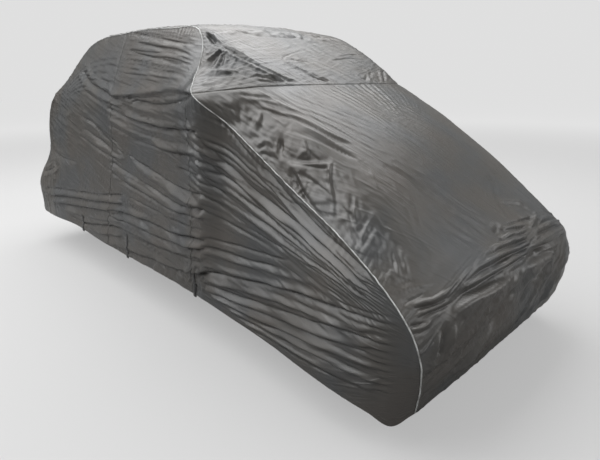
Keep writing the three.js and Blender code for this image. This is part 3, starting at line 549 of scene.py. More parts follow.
# Folds of the hood: the kind, width and height of each, then its line, in metres across from the
# middle line (the right-hand side is negative) and along the cloth from the front hem.
HOOD_CREASES = [
    # long tension folds that run straight down from the web beside the cross seam
    ("sharp", 0.009, 0.008, (-0.67, 1.80), (-0.65, 1.76), (-0.61, 1.68), (-0.55, 1.59), (-0.50, 1.50),
     (-0.46, 1.39), (-0.40, 1.26), (-0.35, 1.19)),
    ("sharp", 0.009, -0.009, (-0.64, 1.80), (-0.61, 1.74), (-0.57, 1.67), (-0.50, 1.58), (-0.45, 1.49),
     (-0.40, 1.39), (-0.33, 1.26)),
    ("sharp", 0.009, 0.006, (-0.60, 1.80), (-0.56, 1.73), (-0.48, 1.63), (-0.40, 1.50), (-0.33, 1.37),
     (-0.26, 1.25)),
    ("sharp", 0.009, -0.006, (-0.55, 1.79), (-0.50, 1.72), (-0.42, 1.61), (-0.33, 1.48), (-0.25, 1.34)),
    ("sharp", 0.009, 0.005, (-0.50, 1.79), (-0.45, 1.72), (-0.37, 1.61), (-0.28, 1.48), (-0.20, 1.34)),
    ("sharp", 0.009, -0.005, (-0.45, 1.79), (-0.40, 1.71), (-0.32, 1.59), (-0.24, 1.46)),
    ("sharp", 0.011, -0.010, (-0.75, 1.80), (-0.71, 1.785), (-0.67, 1.765), (-0.62, 1.73)),
    ("sharp", 0.010, 0.007, (-0.73, 1.775), (-0.69, 1.76), (-0.65, 1.73), (-0.60, 1.66)),
    ("sharp", 0.012, -0.011, (-0.74, 1.75), (-0.71, 1.725), (-0.68, 1.69), (-0.64, 1.63), (-0.60, 1.55),
     (-0.56, 1.44), (-0.51, 1.34)),
    ("sharp", 0.011, 0.009, (-0.71, 1.74), (-0.67, 1.70), (-0.63, 1.64), (-0.59, 1.56), (-0.55, 1.46),
     (-0.49, 1.34)),
    ("sharp", 0.011, -0.008, (-0.66, 1.56), (-0.62, 1.45), (-0.58, 1.34), (-0.54, 1.24)),
    ("sharp", 0.011, 0.007, (-0.64, 1.58), (-0.60, 1.46), (-0.56, 1.35), (-0.52, 1.26)),
    ("sharp", 0.011, -0.007, (-0.69, 1.60), (-0.65, 1.50), (-0.61, 1.40), (-0.57, 1.28)),
    # small uneven creases below the shoulder, where the slack is pushed together by hand
    ("sharp", 0.008, -0.006, (-0.815, 1.80), (-0.82, 1.78), (-0.83, 1.76)),
    ("soft", 0.008, 0.005, (-0.80, 1.80), (-0.81, 1.775), (-0.83, 1.75)),
    ("sharp", 0.008, -0.007, (-0.79, 1.79), (-0.805, 1.765), (-0.83, 1.735)),
    ("soft", 0.008, 0.005, (-0.77, 1.785), (-0.79, 1.76), (-0.82, 1.735)),
    ("sharp", 0.008, -0.007, (-0.76, 1.77), (-0.79, 1.75), (-0.83, 1.72)),
    ("soft", 0.009, 0.005, (-0.745, 1.765), (-0.77, 1.75), (-0.80, 1.735)),
    ("sharp", 0.008, -0.006, (-0.73, 1.73), (-0.77, 1.725), (-0.83, 1.71)),
    ("soft", 0.010, 0.006, (-0.715, 1.735), (-0.75, 1.715), (-0.80, 1.705)),
    ("sharp", 0.009, -0.007, (-0.71, 1.73), (-0.745, 1.705), (-0.80, 1.69)),
    ("sharp", 0.008, -0.006, (-0.79, 1.68), (-0.81, 1.69), (-0.845, 1.695)),
    ("sharp", 0.008, -0.006, (-0.80, 1.645), (-0.82, 1.655), (-0.845, 1.655)),
    ("soft", 0.009, 0.005, (-0.79, 1.66), (-0.82, 1.67), (-0.84, 1.672)),
    ("sharp", 0.009, -0.007, (-0.84, 1.65), (-0.825, 1.62), (-0.82, 1.59)),
    # a dent, and the creases between it and the flap
    ("soft", 0.030, -0.018, (-0.77, 1.61), (-0.755, 1.585)),
    ("sharp", 0.009, -0.008, (-0.67, 1.51), (-0.685, 1.47), (-0.71, 1.42)),
    ("soft", 0.009, 0.006, (-0.685, 1.52), (-0.705, 1.47), (-0.725, 1.43)),
    ("sharp", 0.009, -0.007, (-0.65, 1.45), (-0.655, 1.40), (-0.65, 1.33)),
    ("sharp", 0.008, -0.006, (-0.73, 1.48), (-0.71, 1.45), (-0.69, 1.44)),
    # upper edge of the flap, its straight fold and the dark hollow beside the piping
    ("lip", 0.012, -0.010, (-0.79, 1.55), (-0.755, 1.46), (-0.71, 1.39), (-0.66, 1.32)),
    ("sharp", 0.009, -0.008, (-0.79, 1.53), (-0.755, 1.44), (-0.69, 1.31)),
    ("sharp", 0.010, -0.011, (-0.655, 1.32), (-0.70, 1.28), (-0.76, 1.19), (-0.82, 1.13)),
    ("soft", 0.010, 0.009, (-0.67, 1.33), (-0.72, 1.28), (-0.77, 1.20), (-0.82, 1.15)),
    ("sharp", 0.009, -0.009, (-0.79, 1.44), (-0.77, 1.33), (-0.76, 1.22)),
    ("soft", 0.009, 0.006, (-0.775, 1.45), (-0.755, 1.33), (-0.745, 1.23)),
    ("lip", 0.013, 0.013, (-0.79, 1.50), (-0.805, 1.42), (-0.82, 1.36), (-0.835, 1.27), (-0.845, 1.20)),
    ("sharp", 0.010, -0.010, (-0.815, 1.44), (-0.83, 1.36), (-0.84, 1.28)),
    ("sharp", 0.009, -0.008, (-0.84, 1.28), (-0.81, 1.23), (-0.79, 1.19)),
    ("sharp", 0.009, -0.007, (-0.845, 1.20), (-0.82, 1.17), (-0.80, 1.13)),
    # creases lower down beside the piping
    ("sharp", 0.009, -0.006, (-0.67, 1.28), (-0.68, 1.23), (-0.69, 1.18)),
    ("soft", 0.011, 0.009, (-0.69, 1.12), (-0.73, 1.09), (-0.78, 1.04)),
    ("sharp", 0.010, -0.008, (-0.70, 1.14), (-0.74, 1.10), (-0.79, 1.07)),
    ("soft", 0.011, 0.009, (-0.72, 0.99), (-0.76, 0.985), (-0.81, 0.98)),
    ("sharp", 0.010, -0.007, (-0.71, 1.01), (-0.76, 1.005), (-0.81, 1.00)),
    ("soft", 0.011, 0.008, (-0.72, 0.94), (-0.77, 0.93), (-0.82, 0.94)),
    ("sharp", 0.010, -0.007, (-0.73, 0.96), (-0.78, 0.96), (-0.82, 0.96)),
    ("sharp", 0.009, 0.007, (-0.73, 0.83), (-0.76, 0.78), (-0.78, 0.74)),
    ("sharp", 0.009, -0.006, (-0.745, 0.83), (-0.775, 0.78), (-0.795, 0.745)),
    ("sharp", 0.009, 0.006, (-0.715, 0.81), (-0.74, 0.75), (-0.76, 0.71)),
    # brown-cast ridges that run on to the nose, and paler curved lines beside them
    ("soft", 0.018, -0.005, (-0.45, 1.17), (-0.39, 1.02), (-0.36, 0.91), (-0.33, 0.80), (-0.29, 0.70),
     (-0.28, 0.60)),
    ("soft", 0.018, 0.005, (-0.40, 1.15), (-0.35, 1.0), (-0.31, 0.87), (-0.27, 0.74), (-0.22, 0.65)),
    ("soft", 0.018, -0.005, (-0.36, 1.13), (-0.30, 0.99), (-0.26, 0.84), (-0.22, 0.71), (-0.17, 0.63)),
    ("soft", 0.016, 0.006, (-0.30, 1.08), (-0.25, 0.95), (-0.20, 0.80), (-0.15, 0.70)),
    ("soft", 0.014, -0.005, (-0.44, 0.88), (-0.41, 0.80), (-0.38, 0.70), (-0.34, 0.61)),
    ("soft", 0.014, -0.005, (-0.49, 0.86), (-0.46, 0.76), (-0.42, 0.66), (-0.38, 0.59)),
    ("sharp", 0.011, 0.006, (-0.49, 1.06), (-0.52, 0.98), (-0.56, 0.89), (-0.59, 0.84)),
    ("sharp", 0.011, 0.006, (-0.47, 1.00), (-0.49, 0.93), (-0.53, 0.86), (-0.57, 0.80)),
    ("sharp", 0.011, 0.005, (-0.54, 1.17), (-0.58, 1.08), (-0.59, 1.05)),
    ("sharp", 0.011, 0.006, (-0.62, 1.23), (-0.65, 1.18), (-0.66, 1.14)),
    # left of the nose: curved ridges above the pocket
    ("sharp", 0.013, 0.008, (0.24, 0.95), (0.21, 0.88), (0.10, 0.79), (0.03, 0.70), (0.00, 0.63)),
    ("sharp", 0.013, -0.007, (0.28, 0.95), (0.25, 0.88), (0.14, 0.79), (0.07, 0.71), (0.04, 0.65)),
    ("sharp", 0.012, 0.005, (0.38, 0.99), (0.32, 0.88), (0.16, 0.76)),
    ("sharp", 0.014, -0.012, (0.08, 0.72), (0.18, 0.70), (0.27, 0.66), (0.29, 0.62)),
    ("sharp", 0.013, 0.008, (0.10, 0.74), (0.20, 0.72), (0.30, 0.68), (0.34, 0.63)),
    ("soft", 0.034, -0.030, (-0.21, 0.59), (-0.15, 0.60), (-0.09, 0.61)),
    # short gathers by the piping at the right-hand end of the nose
    ("sharp", 0.011, -0.012, (-0.81, 0.595), (-0.78, 0.56), (-0.74, 0.525), (-0.69, 0.51)),
    ("soft", 0.012, 0.010, (-0.82, 0.62), (-0.78, 0.585), (-0.74, 0.55), (-0.67, 0.53)),
    ("sharp", 0.011, -0.012, (-0.81, 0.54), (-0.76, 0.51), (-0.72, 0.487), (-0.69, 0.48)),
    ("soft", 0.011, 0.009, (-0.82, 0.565), (-0.77, 0.53), (-0.72, 0.505)),
    ("sharp", 0.012, -0.011, (-0.84, 0.665), (-0.79, 0.625), (-0.74, 0.595)),
    ("sharp", 0.012, -0.009, (-0.82, 0.75), (-0.78, 0.71), (-0.74, 0.67)),
    ("sharp", 0.012, 0.009, (-0.83, 0.715), (-0.76, 0.65), (-0.71, 0.60)),
    ("sharp", 0.011, -0.010, (-0.85, 0.545), (-0.82, 0.515), (-0.80, 0.50)),
    ("sharp", 0.011, -0.010, (-0.85, 0.50), (-0.82, 0.475), (-0.79, 0.462)),
    ("soft", 0.011, 0.008, (-0.85, 0.523), (-0.81, 0.492), (-0.78, 0.48)),
    # folds along the nose, drawn together toward its left-hand corner
    ("lip", 0.024, -0.022, (-0.74, 0.43), (-0.70, 0.455), (-0.65, 0.455), (-0.55, 0.435), (-0.43, 0.42),
     (-0.29, 0.405), (-0.11, 0.40), (0.03, 0.40), (0.26, 0.395)),
    ("sharp", 0.013, -0.021, (-0.67, 0.485), (-0.62, 0.47), (-0.51, 0.455), (-0.37, 0.445),
     (-0.21, 0.44), (-0.03, 0.44)),
    ("soft", 0.012, 0.014, (-0.64, 0.50), (-0.53, 0.48), (-0.41, 0.47), (-0.26, 0.465), (-0.05, 0.457)),
    ("sharp", 0.013, -0.021, (-0.57, 0.505), (-0.50, 0.505), (-0.40, 0.495), (-0.28, 0.487),
     (-0.14, 0.478), (0.0, 0.473)),
    ("soft", 0.012, 0.013, (-0.50, 0.525), (-0.35, 0.513), (-0.20, 0.50), (0.02, 0.487)),
    ("sharp", 0.012, -0.017, (-0.41, 0.535), (-0.29, 0.53), (-0.15, 0.515), (0.01, 0.50)),
    ("soft", 0.012, 0.011, (-0.32, 0.55), (-0.18, 0.537), (0.03, 0.513)),
    ("sharp", 0.012, -0.017, (-0.23, 0.565), (-0.11, 0.548), (0.04, 0.525)),
    ("soft", 0.012, 0.012, (-0.16, 0.575), (-0.06, 0.56), (0.08, 0.54)),
    ("sharp", 0.012, -0.015, (-0.14, 0.595), (-0.02, 0.575), (0.09, 0.555)),
    ("sharp", 0.012, 0.011, (-0.12, 0.61), (-0.02, 0.59), (0.12, 0.567)),
    ("sharp", 0.012, -0.017, (-0.06, 0.61), (0.11, 0.60), (0.22, 0.592), (0.39, 0.605)),
    ("soft", 0.013, 0.016, (0.0, 0.465), (0.20, 0.465), (0.38, 0.472), (0.57, 0.48)),
    ("sharp", 0.013, -0.020, (0.04, 0.435), (0.26, 0.435), (0.42, 0.44), (0.58, 0.45)),
    ("soft", 0.012, 0.012, (0.06, 0.415), (0.26, 0.41), (0.44, 0.413)),
    ("sharp", 0.013, -0.017, (0.14, 0.50), (0.30, 0.50), (0.50, 0.505), (0.64, 0.51)),
    ("soft", 0.013, 0.013, (0.20, 0.52), (0.40, 0.525), (0.60, 0.53)),
    ("sharp", 0.013, -0.017, (0.28, 0.545), (0.46, 0.55), (0.64, 0.555)),
    ("soft", 0.013, 0.017, (0.39, 0.62), (0.24, 0.575), (0.12, 0.545)),
    ("sharp", 0.012, -0.018, (0.40, 0.59), (0.28, 0.555), (0.18, 0.53)),
    ("sharp", 0.012, 0.010, (0.44, 0.64), (0.54, 0.60), (0.64, 0.585)),
    # the front face: broad soft diagonals down to the hem with thin ones between
    ("soft", 0.014, -0.013, (-0.74, 0.44), (-0.76, 0.39), (-0.78, 0.35), (-0.80, 0.29)),
    ("soft", 0.013, 0.011, (-0.77, 0.43), (-0.79, 0.38), (-0.81, 0.30), (-0.83, 0.23)),
    ("soft", 0.014, 0.010, (-0.71, 0.42), (-0.735, 0.36), (-0.755, 0.29), (-0.78, 0.20)),
    ("sharp", 0.013, 0.010, (-0.41, 0.35), (-0.56, 0.33), (-0.66, 0.29), (-0.71, 0.23), (-0.74, 0.18)),
    ("sharp", 0.013, -0.010, (-0.44, 0.31), (-0.57, 0.29), (-0.66, 0.24), (-0.71, 0.18)),
    ("sharp", 0.013, 0.008, (-0.50, 0.39), (-0.61, 0.36), (-0.67, 0.33)),
    ("soft", 0.020, 0.013, (-0.20, 0.38), (-0.33, 0.35), (-0.46, 0.32)),
    ("soft", 0.020, -0.013, (-0.16, 0.35), (-0.30, 0.31), (-0.44, 0.26), (-0.56, 0.24)),
    ("soft", 0.030, 0.024, (-0.16, 0.30), (-0.26, 0.25), (-0.34, 0.21), (-0.47, 0.19), (-0.60, 0.17),
     (-0.67, 0.12), (-0.72, 0.07)),
    ("soft", 0.028, -0.016, (-0.22, 0.19), (-0.36, 0.15), (-0.52, 0.12), (-0.62, 0.06)),
    ("soft", 0.024, 0.018, (0.35, 0.40), (0.17, 0.36), (0.01, 0.35), (-0.12, 0.32), (-0.18, 0.27)),
    ("soft", 0.022, -0.016, (0.24, 0.345), (0.05, 0.31), (-0.08, 0.27), (-0.16, 0.20)),
    ("soft", 0.022, 0.014, (0.30, 0.30), (0.14, 0.26), (0.02, 0.20), (-0.06, 0.10)),
    ("soft", 0.022, -0.013, (0.42, 0.33), (0.28, 0.25), (0.16, 0.16), (0.10, 0.06)),
    ("soft", 0.024, 0.014, (0.54, 0.34), (0.44, 0.24), (0.34, 0.14), (0.28, 0.05)),
    ("soft", 0.024, -0.012, (0.64, 0.36), (0.58, 0.24), (0.50, 0.12)),
]
HOOD_BUNCHES = [
    # slack over the shoulder, below it and down beside the piping, then the pocket by the nose
    ((-0.76, 1.71), (0.13, 0.16), -12, 0.0062, 0.050, (1.2, 1.4), 11),
    ((-0.77, 1.37), (0.10, 0.18), 0, 0.007, 0.070, (1.5, 1), 17),
    ((-0.76, 1.03), (0.09, 0.20), 0, 0.006, 0.050, (1.5, 1), 21),
    ((-0.77, 0.80), (0.07, 0.08), 0, 0.006, 0.045, (1, 1), 24),
    ((0.30, 0.60), (0.22, 0.12), 0, 0.007, 0.090, (1, 1.3), 27),
]
SLOPE_FAN = [(1.25, -0.20, 0.14), (1.45, -0.24, 0.30), (1.62, -0.33, 0.50), (1.82, -0.50, 0.74)]


def hood_folds(u, s):
    height = sum(crease(u, s, *row) for row in HOOD_CREASES) + bunched(u, s, HOOD_BUNCHES)
    height = height + fold_family(s, u, SLOPE_FAN, 19, 0.0034, 5, (1.26, 1.44, 1.80, 1.84))
    # fine streaks along the slope, and the loose front face
    nose = patch(u, s, (0.0, 0.50), (0.85, 0.09))
    height = height + 0.006 * nose * wrinkles(u, s, 4, 0.30, 0.024, 33)
    slope = smooth((s - 0.6) / 0.2)
    height = height + 0.0015 * slope * wrinkles(u, s, 112, 0.34, 0.022, 35)
    lower = smooth((1.25 - s) / 0.3) * slope
    height = height + 0.0016 * lower * wrinkles(u, s, 96, 0.20, 0.020, 37)
    face = smooth((0.46 - s) / 0.1)
    height = height + 0.008 * face * wrinkles(u, s, 33, 0.30, 0.030, 39)
    return height + 0.005 * face * crumple(u, s * 1.5, 0.110, 43)


def hood_pull(u, s):
    return turned(u, s, 108)


CROSS_SEAM = float(np.interp(ROW["cross seam"], PLACES, LENGTHS))
HOOD_ROWS = ((0, 0), (0.11, 0.38), (0.35, 0.64), (0.58, 1.30), (1, CROSS_SEAM))
hood = strip_panel("hood_cloth", 250, 188, HOOD_ROWS, hood_folds, hood_pull, front_hem=True)
fit_piece(hood, "hood_panel")

# Roof panel. The second width of the centre strip, from the cross seam up the long slope and back
# over the top. Its front edge is sewn to the hood panel, its rear edge to the rear panel; it lies
# on what is inside it only along the top, and hangs free in a web at the shoulders.
ROOF_CREASES = [
    # the edge of the web, and the straight folds that run from it to the cross seam
    ("sharp", 0.012, -0.014, (-0.70, 2.26), (-0.67, 2.19), (-0.63, 2.07), (-0.58, 1.98), (-0.53, 1.91),
     (-0.49, 1.87), (-0.43, 1.835)),
    ("soft", 0.015, 0.013, (-0.74, 2.24), (-0.70, 2.16), (-0.66, 2.06), (-0.615, 1.97), (-0.56, 1.90),
     (-0.50, 1.85)),
    ("sharp", 0.013, 0.010, (-0.66, 2.25), (-0.63, 2.16), (-0.59, 2.06), (-0.54, 1.97), (-0.47, 1.89),
     (-0.40, 1.845)),
    ("sharp", 0.010, -0.010, (-0.36, 2.08), (-0.34, 2.00), (-0.29, 1.94), (-0.24, 1.88), (-0.17, 1.84)),
    ("soft", 0.011, -0.006, (-0.30, 1.93), (-0.245, 1.88), (-0.18, 1.845)),
    ("sharp", 0.012, 0.009, (-0.34, 2.09), (-0.31, 2.01), (-0.26, 1.95), (-0.20, 1.89), (-0.13, 1.845)),
    ("sharp", 0.011, -0.006, (-0.05, 2.22), (-0.20, 2.165), (-0.31, 2.12), (-0.36, 2.08)),
    ("sharp", 0.011, -0.006, (-0.32, 2.10), (-0.22, 2.075), (-0.10, 2.06)),
    ("sharp", 0.011, -0.005, (-0.38, 2.08), (-0.35, 2.01), (-0.33, 1.94)),
    ("sharp", 0.011, -0.005, (-0.11, 2.05), (-0.04, 1.98), (0.03, 1.90)),
    ("sharp", 0.012, -0.009, (-0.66, 1.90), (-0.62, 1.885), (-0.57, 1.87), (-0.50, 1.84)),
    ("sharp", 0.012, 0.007, (-0.66, 1.92), (-0.61, 1.905), (-0.55, 1.885), (-0.49, 1.86)),
    ("sharp", 0.012, -0.008, (-0.65, 1.865), (-0.60, 1.85), (-0.55, 1.835)),
    ("sharp", 0.013, -0.007, (0.24, 2.38), (0.40, 2.35), (0.51, 2.32)),
    ("sharp", 0.013, -0.006, (0.10, 2.34), (0.30, 2.32), (0.46, 2.27)),
    ("sharp", 0.012, -0.007, (0.25, 2.15), (0.43, 2.19), (0.60, 2.18)),
    ("sharp", 0.012, -0.006, (0.12, 2.10), (0.34, 2.13), (0.60, 2.11)),
    # short gathers at the left of the cross seam
    ("sharp", 0.013, -0.010, (0.30, 1.93), (0.24, 1.885), (0.16, 1.835)),
    ("sharp", 0.014, -0.013, (0.40, 1.96), (0.31, 1.90), (0.245, 1.838)),
    ("soft", 0.012, 0.008, (0.36, 1.93), (0.27, 1.87), (0.22, 1.84)),
    ("sharp", 0.013, -0.009, (0.45, 1.91), (0.39, 1.87), (0.345, 1.84)),
    ("sharp", 0.015, -0.014, (0.60, 1.97), (0.50, 1.90), (0.42, 1.84)),
    ("soft", 0.012, 0.009, (0.53, 1.96), (0.44, 1.89), (0.375, 1.843)),
    ("sharp", 0.012, -0.008, (0.58, 1.90), (0.52, 1.865), (0.475, 1.838)),
    ("sharp", 0.013, -0.011, (0.66, 1.94), (0.60, 1.88), (0.55, 1.84)),
    # the web at the right shoulder: folds that fan out from its upper tip
    ("soft", 0.014, 0.013, (-0.71, 2.22), (-0.79, 2.15), (-0.84, 2.08)),
    ("soft", 0.013, -0.012, (-0.71, 2.205), (-0.77, 2.13), (-0.81, 2.05)),
    ("soft", 0.014, 0.013, (-0.71, 2.19), (-0.75, 2.11), (-0.78, 2.02)),
    ("soft", 0.012, -0.011, (-0.705, 2.18), (-0.74, 2.10), (-0.765, 2.01)),
    ("soft", 0.013, 0.011, (-0.70, 2.17), (-0.725, 2.08), (-0.745, 1.99)),
    ("soft", 0.016, 0.010, (-0.82, 2.04), (-0.76, 2.00), (-0.69, 1.94)),
    ("soft", 0.016, -0.010, (-0.82, 1.99), (-0.76, 1.955), (-0.70, 1.92)),
    ("soft", 0.020, -0.007, (-0.76, 1.86), (-0.83, 1.885)),
    ("soft", 0.030, -0.022, (-0.79, 2.42), (-0.76, 2.34), (-0.74, 2.28)),
    ("soft", 0.018, 0.010, (-0.72, 2.40), (-0.70, 2.33), (-0.685, 2.27)),
    # along the top
    ("soft", 0.040, 0.010, (-0.46, 2.62), (-0.10, 2.60), (0.34, 2.64)),
    ("soft", 0.040, -0.008, (-0.44, 2.95), (-0.05, 3.02), (0.40, 2.96)),
    ("soft", 0.045, 0.010, (-0.50, 3.42), (-0.10, 3.50), (0.42, 3.44)),
    ("soft", 0.040, -0.009, (-0.46, 3.86), (0.0, 3.80), (0.46, 3.88)),
]
ROOF_BUNCHES = [
    # along the front edge of the top
    ((-0.10, 2.41), (0.66, 0.05), 0, 0.008, 0.055, (0.7, 1.5), 51),
]


def roof_folds(u, s):
    height = sum(crease(u, s, *row) for row in ROOF_CREASES) + bunched(u, s, ROOF_BUNCHES)
    web = patch(u, s, (-0.77, 2.04), (0.12, 0.24))
    height = height + 0.004 * web * wrinkles(u, s, 60, 0.14, 0.022, 54)
    slope = smooth((2.38 - s) / 0.1)
    height = height + 0.0024 * slope * wrinkles(u, s, 128, 0.26, 0.020, 57)
    height = height + 0.0022 * slope * wrinkles(u, s, 14, 0.18, 0.018, 60)
    top = smooth((s - 2.46) / 0.15)
    height = height + 0.0045 * top * wrinkles(u, s, 8, 0.30, 0.040, 63)
    return height + 0.0035 * top * wrinkles(u, s, 96, 0.34, 0.050, 66)


def roof_pull(u, s):
    return turned(u, s, 125)


ROOF_REAR = float(np.interp(ROW["roof rear"], PLACES, LENGTHS))
ROOF_ROWS = ((0, CROSS_SEAM), (0.56, 2.46), (1, ROOF_REAR))
roof = strip_panel("roof_cloth", 195, 165, ROOF_ROWS, roof_folds, roof_pull)
fit_piece(roof, "roof_panel")

# Rear panel. The last width of the centre strip, from the seam at the rear of the top down the
# tail and the rear face to the hem. It is cut like the others and hangs in broad upright folds.
REAR_CREASES = [
    ("soft", 0.055, 0.018, (-0.40, 4.30), (0.00, 4.34), (0.42, 4.29)),
    ("soft", 0.050, -0.014, (-0.34, 4.42), (0.02, 4.46), (0.36, 4.40)),
    ("soft", 0.050, -0.022, (-0.44, 4.50), (-0.10, 4.92), (0.16, 5.30)),
    ("soft", 0.046, 0.018, (-0.56, 4.56), (-0.26, 4.98), (-0.02, 5.36)),
    ("soft", 0.050, 0.020, (0.42, 4.46), (0.28, 4.90), (0.14, 5.34)),
    ("soft", 0.046, -0.018, (0.56, 4.52), (0.44, 4.96), (0.30, 5.40)),
    ("soft", 0.040, 0.020, (-0.54, 6.22), (-0.44, 5.90), (-0.32, 5.60)),
    ("soft", 0.038, -0.018, (-0.40, 6.24), (-0.32, 5.92), (-0.22, 5.56)),
    ("soft", 0.040, 0.018, (-0.14, 6.24), (-0.10, 5.92), (-0.08, 5.60)),
    ("soft", 0.038, -0.018, (0.10, 6.24), (0.10, 5.90), (0.06, 5.56)),
    ("soft", 0.040, 0.019, (0.30, 6.22), (0.26, 5.90), (0.20, 5.58)),
    ("soft", 0.040, -0.020, (0.48, 6.24), (0.42, 5.90), (0.34, 5.60)),
    ("soft", 0.036, 0.016, (0.64, 6.20), (0.60, 5.92), (0.54, 5.66)),
    ("soft", 0.036, -0.016, (-0.68, 6.20), (-0.62, 5.90), (-0.52, 5.64)),
]
REAR_BUNCHES = [
    # at the two upper corners of the rear face
    ((0.66, 4.9), (0.16, 0.3), 0, 0.007, 0.09, (1, 1), 80),
    ((-0.66, 4.9), (0.16, 0.3), 0, 0.007, 0.09, (1, 1), 80),
]


def rear_folds(u, s):
    height = sum(crease(u, s, *row) for row in REAR_CREASES) + bunched(u, s, REAR_BUNCHES)
    height = height + 0.006 * wrinkles(u, s, 76, 0.42, 0.055, 71)
    height = height + 0.004 * wrinkles(u, s, 104, 0.30, 0.040, 74)
    skirt = smooth((s - 5.5) / 0.3)
    return height + 0.008 * skirt * wrinkles(u, s, 88, 0.40, 0.050, 77)


def rear_pull(u, s):
    return turned(u, s, 84)


REAR_ROWS = ((0, ROOF_REAR), (1, LENGTHS[-1]))
rear = strip_panel("rear_cloth", 115, 90, REAR_ROWS, rear_folds, rear_pull, rear_hem=True)
fit_piece(rear, "rear_panel")

# Right-hand side in three widths of the same cloth, joined by two upright seams. Each hangs from
# the piping to a turned and stitched hem; the front width narrows to the front corner. It is drawn
# taut from the shoulder to the nose, which throws the long parallel folds.
SIDE_HEM = np.array([
    (780, -400, 185), (850, -330, 125), (885, -240, 165), (900, -120, 185), (900, 80, 205),
    (885, 370, 225), (880, 650, 240), (880, 1000, 265), (880, 1500, 285), (880, 2000, 285),
    (880, 2500, 295), (880, 3000, 325), (890, 3400, 320), (885, 3650, 315), (875, 3820, 320),
    (850, 3900, 345),
]) * MM
WAIST_HEIGHT = 1.43
WAIST_ROUNDING = 0.10
WAIST = np.array([(955, 884), (1150, 850), (1500, 800), (2200, 752), (3000, 735), (3600, 715),
                  (3900, 700)]) * MM
CORNER_FADE = 14
FRONT_STEPS = (0, 0.5, 1, 2, 2.5, 3)    # places on the seam up the front corner
REAR_STEPS = tuple(LAST_ROW - 0.5 * step for step in range(9))  # and up the rear one
SWELLS = [
    # y, z, half length along and up, and how far it pushes the cloth out
    (-0.02, 0.45, 0.42, 0.32, 0.026),       # at the front corner
    (3.45, 0.50, 0.38, 0.26, 0.026),        # at the rear corner
    (2.00, 0.98, 0.90, 0.26, -0.022),       # a hollow between them
]
SWELL_FADE = 0.09
CORNERS = (-0.40, 3.90)  # the y of the two corners, towards which the swells fade
LEAN = 0.8               # how far a fold sags down the cloth, as a share of its height
LEAN_FROM = 0.14         # and how far from the hem it does so in full
hem_curve = curve_through(SIDE_HEM)(np.linspace(0, len(SIDE_HEM) - 1, 2001))


def side_point(place, up):
    """The taut left side at a place on the seam; up is 0 at the hem and 1 at the seam."""
    front, rear = seam_line(ROW["nose"]), seam_line(ROW["tail"])
    front_hem, rear_hem = seam_line(0), seam_line(LAST_ROW)
    top = seam_line(place)
    along = (top[..., 1] - front[1]) / (rear[1] - front[1])
    hem_y = front_hem[1] + (rear_hem[1] - front_hem[1]) * along
    hem = np.stack([np.interp(hem_y, hem_curve[:, 1], hem_curve[:, axis]) for axis in range(3)], -1)
    point = hem + (top - hem) * up[..., None]
    waist = np.interp(point[..., 1], WAIST[:, 0], WAIST[:, 1])
    z, hem_z, top_z = point[..., 2], hem[..., 2], top[..., 2]

    def lower(z):
        return hem[..., 0] + (waist - hem[..., 0]) * (z - hem_z) / (WAIST_HEIGHT - hem_z)

    def upper(z):
        return waist + (top[..., 0] - waist) * (z - WAIST_HEIGHT) / np.maximum(
            top_z - WAIST_HEIGHT, 1e-6)

    rounding = np.clip(top_z - WAIST_HEIGHT, 1e-6, WAIST_ROUNDING)
    t = np.clip((z - WAIST_HEIGHT + rounding) / (2 * rounding), 0, 1)
    curved = ((1 - t) ** 2 * lower(WAIST_HEIGHT - rounding) + 2 * t * (1 - t) * waist
              + t * t * upper(WAIST_HEIGHT + rounding))
    reach = np.where(t <= 0, lower(z), np.where(t >= 1, upper(z), curved))
    plain = hem[..., 0] + (top[..., 0] - hem[..., 0]) * up
    reach = np.where(top_z <= WAIST_HEIGHT, plain, reach)
    near_front, near_rear = (1 - along) ** CORNER_FADE, along ** CORNER_FADE
    point[..., 0] = reach + (point[..., 0] - reach) * np.minimum(1, near_front + near_rear)

    def bow(steps, low, high):
        on_seam = seam_line(np.interp(up * (len(steps) - 1), np.arange(len(steps)), steps))
        return on_seam - low - (high - low) * up[..., None]

    point = point + bow(FRONT_STEPS, front_hem, front) * near_front[..., None]
    return point + bow(REAR_STEPS, rear_hem, rear) * near_rear[..., None]


